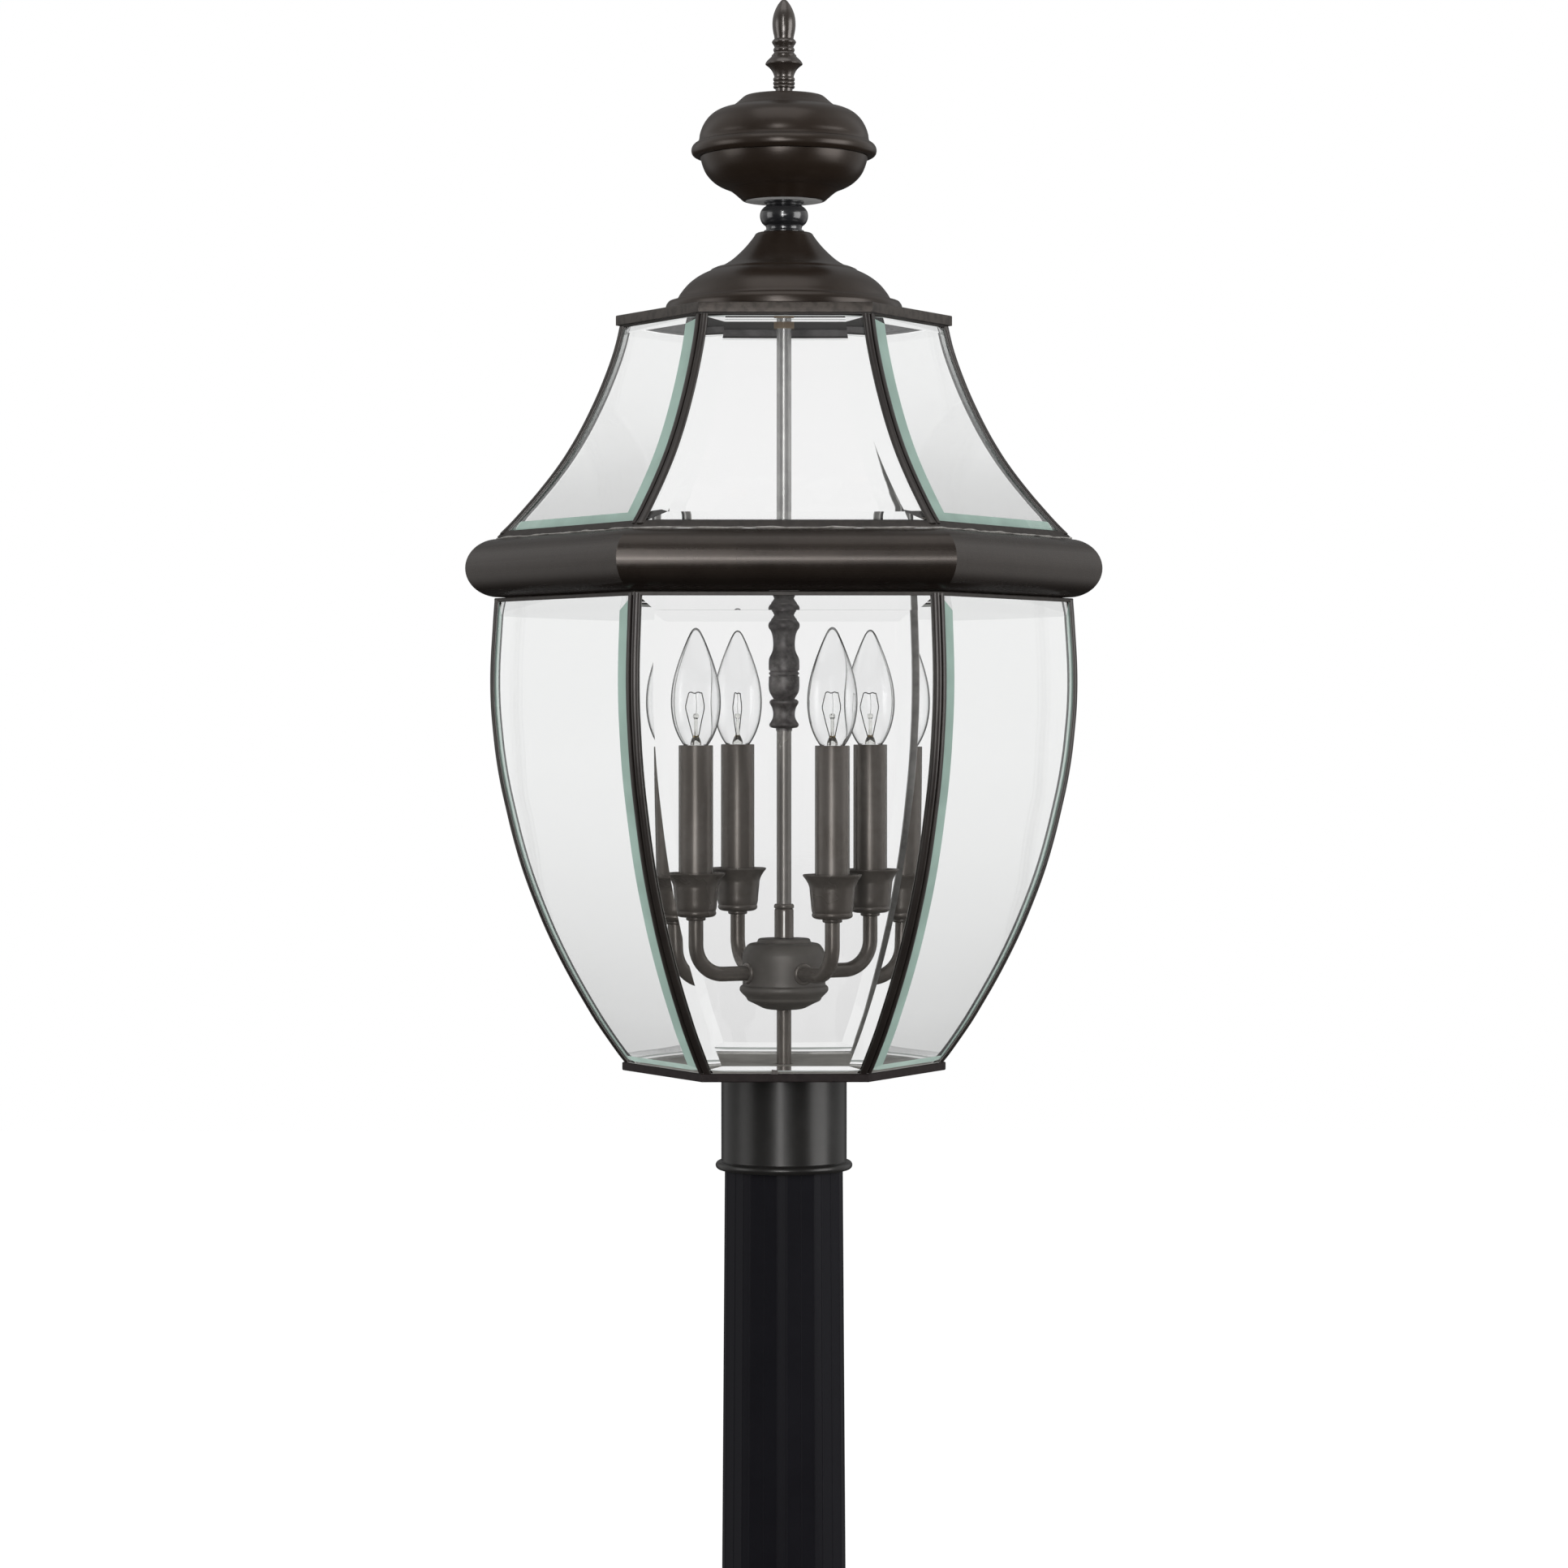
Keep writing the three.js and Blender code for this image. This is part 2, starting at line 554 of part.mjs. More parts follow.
// name, solid and material of each part standing on a lamp's axis
const LAMP_PARTS = [
  ['cup', ring(CUP_PROFILE, 12), INNER_METAL],
  ['candle_sleeve', ring(rectangle(9.7, 10.8, 440.2, 544.1), 14), INNER_METAL],
  ['socket', ring(SOCKET_PROFILE, 12), CERAMIC],
  ['bulb_glass', ring(BULB_GLASS_PROFILE, 12), GLASS],
  ['bulb_base', turned(BULB_BASE_PROFILE, 12), BRASS],
];

LAMP_AZ.forEach((azimuth, i) => {
  const angle = rad(azimuth);
  const arm = new THREE.Group();
  arm.rotation.z = angle;
  root.add(arm);
  add(`arm_${i + 1}`, armSolid, INNER_METAL, arm);
  const lamp = new THREE.Group();
  lamp.position.set(LAMP_RADIUS * Math.cos(angle), LAMP_RADIUS * Math.sin(angle), 0);
  root.add(lamp);
  for (const [name, part, material] of LAMP_PARTS) add(`${name}_${i + 1}`, part, material, lamp);
});

export default root;
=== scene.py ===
"""Six-sided post lantern: bent bevelled panes in two bronze cages, a half-round band between
them, a domed roof with ball and finial, and four candle lamps inside, on a fluted post.

The axis is Z with the foot of the post at z = 0. The hexagon's corners lie at 0, 60, ...
degrees from +X, so one face looks along -Y to the camera. Lengths are millimetres up to the
studio section, which is in metres; azimuths are degrees from +X, counter-clockwise from above.
"""
import bmesh
import bpy
import json
import math
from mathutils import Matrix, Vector

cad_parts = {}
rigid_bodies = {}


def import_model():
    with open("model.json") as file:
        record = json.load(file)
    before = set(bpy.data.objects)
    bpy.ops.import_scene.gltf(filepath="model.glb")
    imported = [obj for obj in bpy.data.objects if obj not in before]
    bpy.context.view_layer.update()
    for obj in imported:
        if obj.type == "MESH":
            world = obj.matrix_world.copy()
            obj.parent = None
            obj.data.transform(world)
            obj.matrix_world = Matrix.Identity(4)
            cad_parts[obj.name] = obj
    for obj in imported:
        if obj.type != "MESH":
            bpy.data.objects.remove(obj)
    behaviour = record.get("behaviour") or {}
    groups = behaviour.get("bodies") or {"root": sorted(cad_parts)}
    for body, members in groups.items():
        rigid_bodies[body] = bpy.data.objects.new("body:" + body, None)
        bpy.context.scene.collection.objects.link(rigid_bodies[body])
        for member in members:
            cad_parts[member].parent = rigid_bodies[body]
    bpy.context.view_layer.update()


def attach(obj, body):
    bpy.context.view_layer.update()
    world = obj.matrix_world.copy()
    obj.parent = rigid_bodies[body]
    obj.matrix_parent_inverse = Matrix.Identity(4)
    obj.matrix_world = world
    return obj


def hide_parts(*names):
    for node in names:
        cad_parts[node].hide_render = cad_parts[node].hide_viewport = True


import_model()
MM = 0.001
C30 = math.cos(math.radians(30))    # face distance of a hexagon over its corner radius
SCENE_OBJECTS = bpy.context.scene.collection.objects

# shared sizes
BORE = 5.1             # holes of the parts threaded on the centre rod
ROD_RADIUS = 4.65
PIPE_BORE = 3.2
BAND_Z = 656.55        # middle height of the half-round band
HUB_Z = 399.6          # height at which the lamp arms leave the hub
LAMP_RADIUS = 63.2     # from the axis to each lamp
LAMP_AZIMUTHS = (28, 118, 208, 298)


# =====================================================================
# shader helpers
# =====================================================================
class Shader:
    """A node tree being built. A value may be a number, a tuple, a socket or a node."""

    def __init__(self, tree, output):
        self.tree = tree
        tree.nodes.clear()
        self.out = self.add(output)

    def feed(self, socket, value):
        if isinstance(value, (int, float)):
            socket.default_value = value
        elif isinstance(value, tuple):
            socket.default_value = (*value, 1.0) if socket.type == "RGBA" else value
        else:
            if isinstance(value, bpy.types.Node):
                value = value.outputs[0]
            self.tree.links.new(value, socket)

    def add(self, kind, inputs=None, **settings):
        made = self.tree.nodes.new("ShaderNode" + kind)
        for key, value in settings.items():
            setattr(made, key, value)
        for key, value in (inputs or {}).items():
            self.feed(made.inputs[key], value)
        return made

    def math(self, operation, *values, clamp=False):
        inputs = dict(enumerate(values))
        return self.add("Math", inputs, operation=operation, use_clamp=clamp).outputs[0]

    def ramp(self, value, low, high, start, end):
        """Smooth step from start to end while the value goes from low to high."""
        return self.add("MapRange", {
            "From Min": low, "From Max": high, "To Min": start, "To Max": end, "Value": value,
        }, interpolation_type="SMOOTHSTEP").outputs["Result"]

    def mix(self, factor, first, second):
        return self.add("Mix", {0: factor, 6: first, 7: second}, data_type="RGBA").outputs[2]

    def noise(self, vector, scale, detail, rough):
        return self.add("TexNoise", {"Scale": scale, "Detail": detail, "Roughness": rough,
                                     "Vector": vector}).outputs["Fac"]

    def mapped(self, vector, scale=(1, 1, 1), location=(0, 0, 0)):
        return self.add("Mapping", {"Scale": scale, "Location": location,
                                    "Vector": vector}).outputs["Vector"]

    def object_place(self):
        return self.add("TexCoord").outputs["Object"]

    def seen_direct(self):
        """1 for what the camera sees straight or through glass, 0 after any bounce."""
        path = self.add("LightPath").outputs
        bounced = self.math("ADD", path["Diffuse Depth"], path["Glossy Depth"])
        return self.math("SUBTRACT", 1.0, self.math("MINIMUM", bounced, 1.0), clamp=True)


def new_material(name):
    material = bpy.data.materials.new(name)
    material.use_nodes = True
    return material, Shader(material.node_tree, "OutputMaterial")


def bronze(name, base, light, dark, *, rough, metallic, wear, grain, mottle, seed,
           patch=26.0, grain_scale=1400.0, relief=0.00006, spec=0.5, coat=0.0,
           streak=None, brush=0.0, painted_underside_shade=0.0):
    """Painted or patinated metal: base and dark tones in soft patches, fine grain in the
    bump, worn edges in the light tone, uneven roughness. streak scales the noise that brushes
    it along one axis; the last argument sets a painted shade that darkens the colour and
    specular of surfaces that turn downward."""
    material, shader = new_material(name)
    place = shader.object_place()
    shifted = shader.mapped(place, location=(seed, seed * 0.7, -seed * 0.3))
    bsdf = shader.add("BsdfPrincipled", {"Specular IOR Level": spec, "Metallic": metallic})
    patches = shader.noise(shifted, patch, 4.0, 0.6)
    fine = shader.noise(shifted, 210.0, 3.0, 0.55)
    speck = shader.noise(shifted, grain_scale, 2.0, 0.6)

    tone = shader.math("ADD", shader.math("MULTIPLY", patches, 0.7),
                       shader.math("MULTIPLY", fine, 0.3))
    spread = mottle * 0.4
    colour = shader.mix(shader.ramp(tone, 0.5 - spread, 0.5 + spread, 0.0, 1.0), dark, base)
    geometry = shader.add("NewGeometry").outputs
    edge = shader.ramp(geometry["Pointiness"], 0.53, 0.62, 0.0, wear)
    edge = shader.math("MULTIPLY", edge, shader.ramp(fine, 0.35, 0.6, 0.35, 1.0))
    colour = shader.mix(edge, colour, light)
    # painted shade: surfaces that turn downward blend toward a near-black colour and lose
    # specular
    if painted_underside_shade:
        turn = shader.add("SeparateXYZ", {0: geometry["Normal"]})
        shade = shader.ramp(turn.outputs["Z"], -0.85, -0.35, 1.0 - painted_underside_shade, 1.0)
        colour = shader.mix(shade, (0.006, 0.0045, 0.004), colour)
        shader.feed(bsdf.inputs["Specular IOR Level"], shader.math("MULTIPLY", shade, spec))
    shader.feed(bsdf.inputs["Base Color"], colour)

    roughness = shader.math("ADD", rough - 0.06, shader.math("MULTIPLY", patches, 0.12))
    height = shader.math("MULTIPLY", speck, grain)
    if streak:
        lines = shader.noise(shader.mapped(place, scale=streak), 1.0, 3.0, 0.65)
        centred = shader.math("SUBTRACT", lines, 0.5)
        roughness = shader.math("ADD", roughness, shader.math("MULTIPLY", centred, brush))
        height = shader.math("ADD", height, shader.math("MULTIPLY", lines, 4.0 * brush))
    shader.feed(bsdf.inputs["Roughness"], shader.math("MAXIMUM", roughness, 0.05))
    if coat:
        shader.feed(bsdf.inputs["Coat Weight"], coat)
        shader.feed(bsdf.inputs["Coat Roughness"], 0.12)
    bump = shader.add("Bump", {"Strength": 0.25, "Distance": relief, "Height": height})
    shader.feed(bsdf.inputs["Normal"], bump)
    shader.feed(shader.out.inputs["Surface"], bsdf)
    return material


def milky_edge(shader, clear, tint, slant, fade):
    """Mixes clear glass with milky glass where the surface is seen at a slant in plan; the milky
    glass also carries a painted glow.
    """
    geometry = shader.add("NewGeometry").outputs
    flat = []
    for key in ("Normal", "Incoming"):
        cut = shader.add("VectorMath", {0: geometry[key], 1: (1, 1, 0)}, operation="MULTIPLY")
        flat.append(shader.add("VectorMath", {0: cut}, operation="NORMALIZE"))
    dot = shader.add("VectorMath", dict(enumerate(flat)), operation="DOT_PRODUCT")
    lean = shader.math("ABSOLUTE", dot.outputs["Value"])
    amount = shader.ramp(lean, slant, slant + 0.12, 0.86, 0.0)
    if fade:
        amount = shader.math("MULTIPLY", amount, shader.ramp(lean, 0.30, 0.42, fade, 1.0))
    if slant < 1.0:
        facing = shader.math("SUBTRACT", 1.0, geometry["Backfacing"])
        amount = shader.math("MULTIPLY", amount, facing)
    cloud = shader.noise(shader.object_place(), 34.0, 2.0, 0.5)
    cloud = shader.ramp(cloud, 0.3, 0.7, 0.9, 1.08)
    tone = shader.add("VectorMath", {0: tint, "Scale": cloud}, operation="SCALE")
    diffuse = shader.add("BsdfDiffuse", {"Color": tone})
    translucent = shader.add("BsdfTranslucent", {"Color": tone})
    # painted light: the milky glass glows by itself, keeping it pale whatever light reaches it
    glow = shader.add("Emission", {"Color": tone, "Strength": 0.34})
    scatter = shader.add("MixShader", {0: 0.4, 1: diffuse, 2: translucent})
    milk_and_glow = shader.add("AddShader", {0: scatter, 1: glow})
    return shader.add("MixShader", {0: amount, 1: clear, 2: milk_and_glow})


def glass(name, tint, ior=1.5, wave=0.0, coat=0.0, edge_tint=None, slant=0.74, fade=None):
    """Clear glass that bends light and lets lamps through to what it covers. wave is the
    strength of its soft unevenness; an edge tint turns it milky, with a painted glow, when
    seen at a slant."""
    material, shader = new_material(name)
    bsdf = shader.add("BsdfPrincipled", {
        "Transmission Weight": 1.0, "IOR": ior, "Roughness": 0.0, "Base Color": tint})
    if coat:
        shader.feed(bsdf.inputs["Coat Weight"], coat)
        shader.feed(bsdf.inputs["Coat Roughness"], 0.05)
        shader.feed(bsdf.inputs["Coat IOR"], 1.5)
    if wave:
        place = shader.mapped(shader.object_place(), scale=(1, 1, 0.45))
        bump = shader.add("Bump", {"Strength": wave, "Distance": 0.0004,
                                   "Height": shader.noise(place, 14.0, 1.5, 0.4)})
        shader.feed(bsdf.inputs["Normal"], bump)
    body = bsdf
    if edge_tint:
        body = milky_edge(shader, bsdf, edge_tint, slant, fade)
    clear = shader.add("BsdfTransparent", {"Color": tuple(0.96 * part for part in tint)})
    shadow = shader.add("LightPath").outputs["Is Shadow Ray"]
    mixed = shader.add("MixShader", {0: shadow, 1: body, 2: clear})
    shader.feed(shader.out.inputs["Surface"], mixed)
    return material


# =====================================================================
# mesh helpers: a shape is (vertices, faces) or (vertices, faces, material numbers)
# =====================================================================
def make(name, shape, body, cad, mats, angle=30):
    """Builds the object; body is what it rides on, cad the node it replaces, if any, and
    angle the degrees above which an edge is sharp."""
    mesh = bpy.data.meshes.new(name)
    mesh.from_pydata([Vector(v) * MM for v in shape[0]], [], shape[1])
    mesh.validate()
    ob = bpy.data.objects.new(name, mesh)
    SCENE_OBJECTS.link(ob)
    for material in mats:
        mesh.materials.append(material)
    if len(shape) > 2:
        mesh.polygons.foreach_set("material_index", shape[2])
    bm = bmesh.new()
    bm.from_mesh(mesh)
    bmesh.ops.remove_doubles(bm, verts=bm.verts, dist=1e-7)
    bmesh.ops.recalc_face_normals(bm, faces=bm.faces)
    bm.to_mesh(mesh)
    bm.free()
    mesh.polygons.foreach_set("use_smooth", [True] * len(mesh.polygons))
    mesh.set_sharp_from_angle(angle=math.radians(angle))
    mesh.update()
    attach(ob, body)
    if cad:
        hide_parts(cad)
    return ob


def spline(points, steps=5):
    """Smooth curve through (radius, z) points; a third element marks a sharp corner."""
    def tangent(a, b, c):
        # weighted by the shorter neighbour, so that close points do not overshoot
        before, after = math.dist(a, b), math.dist(b, c)
        k1, k2 = after / (before + after), before / (before + after)
        return [(b[j] - a[j]) / before * k1 + (c[j] - b[j]) / after * k2 for j in (0, 1)]

    pts = [p[:2] for p in points]
    sharp = [len(p) > 2 for p in points]
    curve = [pts[0]]
    last = len(pts) - 1
    for i in range(last):
        p1, p2 = pts[i], pts[i + 1]
        p0, p3 = [2 * p1[j] - p2[j] for j in (0, 1)], [2 * p2[j] - p1[j] for j in (0, 1)]
        if i > 0 and not sharp[i]:
            p0 = pts[i - 1]
        if i + 1 < last and not sharp[i + 1]:
            p3 = pts[i + 2]
        length = math.dist(p1, p2)
        t1, t2 = tangent(p0, p1, p2), tangent(p1, p2, p3)
        for s in range(1, steps + 1):
            t = s / steps
            h00 = 2 * t ** 3 - 3 * t ** 2 + 1
            h10 = t ** 3 - 2 * t ** 2 + t
            h01 = -2 * t ** 3 + 3 * t ** 2
            h11 = t ** 3 - t ** 2
            curve.append(tuple(h00 * p1[j] + h10 * length * t1[j]
                               + h01 * p2[j] + h11 * length * t2[j] for j in (0, 1)))
    return curve


def curve_at(stations, z):
    """Corner radius at height z on the smooth curve through (z, radius) stations."""
    last = len(stations) - 1
    i = max((k for k in range(last) if stations[k][0] <= z), default=0)
    (z1, r1), (z2, r2) = stations[i], stations[i + 1]
    z0, r0 = stations[i - 1] if i > 0 else (2 * z1 - z2, 2 * r1 - r2)
    z3, r3 = stations[i + 2] if i + 1 < last else (2 * z2 - z1, 2 * r2 - r1)
    m1 = (r2 - r0) / (z2 - z0) * (z2 - z1)
    m2 = (r3 - r1) / (z3 - z1) * (z2 - z1)
    t = (z - z1) / (z2 - z1)
    return ((2 * t ** 3 - 3 * t ** 2 + 1) * r1 + (t ** 3 - 2 * t ** 2 + t) * m1
            + (-2 * t ** 3 + 3 * t ** 2) * r2 + (t ** 3 - t ** 2) * m2)


def ring_faces(rings, count, closed=True):
    """Quads between successive rings of count vertices; closed joins the last to the first."""
    faces = []
    for j in range(rings if closed else rings - 1):
        k = (j + 1) % rings
        for i in range(count):
            i2 = (i + 1) % count
            faces.append([j * count + i, j * count + i2, k * count + i2, k * count + i])
    return faces


def capped(verts, rings, count):
    """Open run of rings with a face over each end."""
    faces = ring_faces(rings, count, closed=False)
    faces += [list(range(count)), [(rings - 1) * count + k for k in range(count)]]
    return verts, faces


def lathe(profile, segments):
    """Closed (radius, z) profile turned round Z; a point on the axis is a single vertex."""
    verts, faces, rings = [], [], []
    for radius, z in profile:
        start = len(verts)
        if radius < 1e-6:
            verts.append((0, 0, z))
            rings.append([start] * segments)
            continue
        for i in range(segments):
            a = 2 * math.pi * i / segments
            verts.append((radius * math.cos(a), radius * math.sin(a), z))
        rings.append(list(range(start, start + segments)))
    for ring, following in zip(rings, rings[1:] + rings[:1]):
        for i in range(segments):
            i2 = (i + 1) % segments
            corners = (ring[i], ring[i2], following[i2], following[i])
            face = list(dict.fromkeys(corners))
            if len(face) > 2:
                faces.append(face)
    return verts, faces


def hex_point(i, per_side):
    """Point i on a hexagon of unit corner radius."""
    side, t = divmod(i, per_side)
    t /= per_side
    a0, a1 = math.radians(60 * side), math.radians(60 * (side + 1))
    return ((1 - t) * math.cos(a0) + t * math.cos(a1),
            (1 - t) * math.sin(a0) + t * math.sin(a1))


def hex_ring(profile, per_side=1):
    """Mitred hexagonal ring from a closed profile of (corner radius, z)."""
    outline = [hex_point(i, per_side) for i in range(6 * per_side)]
    verts = [(radius * x, radius * y, z) for radius, z in profile for x, y in outline]
    return verts, ring_faces(len(profile), len(outline))


def paint(shape, strip, first, last, chosen, rest):
    """Numbers the materials of a ring whose profile edges hold strip faces each: chosen on
    edges first to last, rest on the others."""
    return *shape, [chosen if first <= k // strip <= last else rest
                    for k in range(len(shape[1]))]


def join(*parts):
    """One shape from several; a part's third element is one material number or a list."""
    verts, faces, mats = [], [], []
    for part in parts:
        number = part[2] if len(part) > 2 else 0
        start = len(verts)
        verts += part[0]
        faces += [[i + start for i in face] for face in part[1]]
        mats += number if isinstance(number, list) else [number] * len(part[1])
    return verts, faces, mats


def turned(shape, azimuth):
    a = math.radians(azimuth)
    c, s = math.cos(a), math.sin(a)
    return [(x * c - y * s, x * s + y * c, z) for x, y, z in shape[0]], *shape[1:]


def tube(path, radius, segments, up=(0, 1, 0)):
    """Round rod along a polyline."""
    pts = [Vector(p) for p in path]
    last = len(pts) - 1
    verts = []
    across = Vector(up)
    for i, p in enumerate(pts):
        along = (pts[min(i + 1, last)] - pts[max(i - 1, 0)]).normalized()
        side = along.cross(across)
        side.normalize()
        across = side.cross(along).normalized()
        for k in range(segments):
            a = 2 * math.pi * k / segments
            verts.append(tuple(p + side * (radius * math.cos(a))
                               + across * (radius * math.sin(a))))
    return capped(verts, len(pts), segments)


def nut(corner_radius, z0, z1):
    """Hexagon nut with chamfered corners, bored for the rod."""
    sides = 48
    chamfer = 0.12 * (z1 - z0)
    verts = []
    for z, limit in ((z0, 0.9), (z0 + chamfer, 1.0), (z1 - chamfer, 1.0), (z1, 0.9)):
        for i in range(sides):
            a = 2 * math.pi * i / sides
            from_face = (math.degrees(a) + 30) % 60 - 30
            flat = corner_radius * C30 / math.cos(math.radians(from_face))
            radius = min(flat, corner_radius * limit)
            verts.append((radius * math.cos(a), radius * math.sin(a), z))
    for z in (z1, z0):
        for i in range(sides):
            a = 2 * math.pi * i / sides
            verts.append((BORE * math.cos(a), BORE * math.sin(a), z))
    return verts, ring_faces(6, sides)


# faces of a box given as four lower and four upper corners
BOX_FACES = [[0, 1, 2, 3], [4, 5, 6, 7], [0, 1, 5, 4], [1, 2, 6, 5], [2, 3, 7, 6], [3, 0, 4, 7]]

# =====================================================================
# materials; the three colours are base, light (worn edges) and dark (patches)
# =====================================================================
# the band's downward-turning lower half carries painted shade
BAND_METAL = bronze(
    "brushed_bronze_band", (0.0225, 0.0172, 0.0137), (0.085, 0.073, 0.06),
    (0.017, 0.0125, 0.0098), rough=0.285, metallic=0.5, wear=0.2, streak=(2.0, 2.0, 620.0),
    grain=0.1, mottle=0.4, seed=1.3, brush=0.15, spec=0.38, painted_underside_shade=0.75)
SPUN = bronze(
    "spun_bronze", (0.0208, 0.014, 0.0098), (0.085, 0.07, 0.054), (0.0168, 0.011, 0.0076),
    rough=0.3, metallic=0.45, wear=0.15, grain=0.02, mottle=0.3, seed=4.1, patch=12.0, spec=0.42)
TURNED = bronze(
    "turned_bronze", (0.042, 0.034, 0.0285), (0.13, 0.11, 0.095), (0.03, 0.0235, 0.0195),
    rough=0.25, metallic=0.5, wear=0.3, grain=0.02, mottle=0.2, seed=4.9, patch=30.0, spec=1.0)
CAME = bronze(
    "dark_came_bronze", (0.0185, 0.015, 0.013), (0.07, 0.06, 0.05), (0.0125, 0.0098, 0.0088),
    rough=0.36, metallic=0.35, wear=0.2, grain=0.05, mottle=0.3, seed=2.2, patch=14.0)
RIM = bronze(
    "rim_bronze", (0.0125, 0.0100, 0.0088), (0.045, 0.038, 0.032), (0.0085, 0.0066, 0.0058),
    rough=0.48, metallic=0.25, wear=0.25, grain=0.1, mottle=0.35, seed=2.5, spec=0.3, patch=14.0)
RIM_LOW = bronze(
    "lower_rim_bronze", (0.0068, 0.0040, 0.0040), (0.024, 0.018, 0.017),
    (0.0046, 0.0026, 0.0026), rough=0.5, metallic=0.15, wear=0.25, grain=0.1, mottle=0.35,
    seed=2.6, spec=0.12, patch=14.0)
LIP = bronze(
    "rim_inner_lip", (0.52, 0.515, 0.50), (0.62, 0.61, 0.59), (0.40, 0.39, 0.375),
    rough=0.5, metallic=0.2, wear=0.2, grain=0.3, mottle=0.4, seed=6.2, patch=60.0)
UNDERBALL = bronze(
    "ball_underside_satin", (0.78, 0.775, 0.765), (0.84, 0.835, 0.82), (0.70, 0.695, 0.685),
    rough=0.5, metallic=0.1, wear=0.1, grain=0.1, mottle=0.3, seed=4.6, patch=30.0)
CAP = bronze(
    "cap_bronze", (0.016, 0.0132, 0.0115), (0.075, 0.064, 0.055), (0.011, 0.0086, 0.0074),
    rough=0.38, metallic=0.4, wear=0.4, grain=0.1, mottle=0.35, seed=2.9, spec=0.19)
CAME_INNER = bronze(
    "came_inner_face", (0.22, 0.215, 0.205), (0.42, 0.41, 0.39), (0.11, 0.106, 0.1),
    rough=0.5, metallic=0.2, wear=0.3, grain=0.6, mottle=0.6, seed=6.0, patch=90.0)
SOLDER = bronze(
    "solder_line", (0.34, 0.33, 0.31), (0.50, 0.49, 0.47), (0.13, 0.12, 0.11),
    rough=0.36, metallic=0.6, wear=0.3, grain=0.6, mottle=0.7, seed=3.7, patch=220.0)
COLLAR = bronze(
    "collar_bronze", (0.0165, 0.0158, 0.015), (0.07, 0.065, 0.06), (0.0135, 0.0128, 0.012),
    rough=0.31, metallic=0.45, wear=0.2, streak=(2.0, 2.0, 260.0), grain=0.02, mottle=0.25,
    seed=5.2, spec=0.36, brush=0.03)
NECK_BLACK = bronze(
    "neck_gloss_black", (0.010, 0.010, 0.011), (0.02, 0.02, 0.02), (0.007, 0.007, 0.008),
    rough=0.2, metallic=0.1, wear=0.0, grain=0.0, mottle=0.3, coat=0.3, seed=7.7, patch=8.0)
POST = bronze(
    "post_powder_coat", (0.0042, 0.004, 0.0057), (0.016, 0.016, 0.02), (0.0032, 0.003, 0.0044),
    rough=0.48, metallic=0.0, wear=0.15, grain=0.5, mottle=0.5, seed=8.8, grain_scale=2200.0,
    spec=0.08)
CLUSTER = bronze(
    "cluster_bronze", (0.132, 0.119, 0.108), (0.24, 0.225, 0.21), (0.112, 0.099, 0.088),
    rough=0.25, metallic=0.5, wear=0.12, grain=0.03, mottle=0.22, seed=9.4, patch=14.0)
CUPS = bronze(
    "cup_bronze", (0.108, 0.097, 0.087), (0.2, 0.185, 0.17), (0.088, 0.077, 0.068),
    rough=0.28, metallic=0.45, wear=0.2, grain=0.03, mottle=0.25, seed=10.4, patch=16.0)
HUB = bronze(
    "hub_bronze", (0.094, 0.086, 0.078), (0.16, 0.15, 0.14), (0.078, 0.071, 0.064),
    rough=0.52, metallic=0.25, wear=0.3, grain=0.15, mottle=0.4, seed=10.9, patch=50.0)
CLUSTER_ROUGH = bronze(
    "cast_baluster_bronze", (0.095, 0.088, 0.085), (0.22, 0.21, 0.2), (0.029, 0.024, 0.024),
    rough=0.46, metallic=0.4, wear=0.6, grain=0.8, mottle=0.42, seed=11.0, patch=230.0,
    relief=0.00018)
FLOOR_METAL = bronze(
    "floor_plate_bronze", (0.46, 0.445, 0.41), (0.56, 0.545, 0.51), (0.26, 0.24, 0.215),
    rough=0.5, metallic=0.3, wear=0.2, grain=0.6, mottle=0.6, seed=12.5, patch=60.0)
UNDERCAP = bronze(
    "cap_underside", (0.112, 0.107, 0.107), (0.3, 0.29, 0.29), (0.045, 0.041, 0.041),
    rough=0.46, metallic=0.4, wear=0.4, grain=0.5, mottle=0.6, seed=12.9, patch=120.0)
ROD_STEEL = bronze(
    "rod_steel", (0.46, 0.455, 0.445), (0.6, 0.59, 0.58), (0.38, 0.375, 0.37),
    rough=0.24, metallic=0.7, wear=0.1, grain=0.1, mottle=0.2, seed=13.4, patch=60.0)
ROD_PAINT = bronze(
    "rod_bronze", (0.215, 0.202, 0.19), (0.34, 0.325, 0.31), (0.18, 0.168, 0.157),
    rough=0.27, metallic=0.5, wear=0.12, grain=0.03, mottle=0.25, seed=13.7, patch=18.0)
STEEL = bronze(
    "zinc_steel", (0.36, 0.35, 0.34), (0.6, 0.6, 0.58), (0.24, 0.23, 0.22),
    rough=0.38, metallic=0.9, wear=0.3, grain=0.4, mottle=0.5, seed=13.0)
BRASS = bronze(
    "aged_brass", (0.42, 0.28, 0.11), (0.72, 0.55, 0.28), (0.24, 0.14, 0.055),
    rough=0.34, metallic=1.0, wear=0.5, grain=0.4, mottle=0.5, seed=14.0)
NUT_BROWN = bronze(
    "tarnished_brass", (0.34, 0.25, 0.17), (0.50, 0.42, 0.30), (0.20, 0.14, 0.09),
    rough=0.42, metallic=0.7, wear=0.5, grain=0.4, mottle=0.5, seed=14.4)
HOLDER = bronze(
    "lampholder_plastic", (0.62, 0.59, 0.52), (0.72, 0.7, 0.64), (0.52, 0.49, 0.42),
    rough=0.5, metallic=0.0, wear=0.1, grain=0.4, mottle=0.5, seed=15.0)
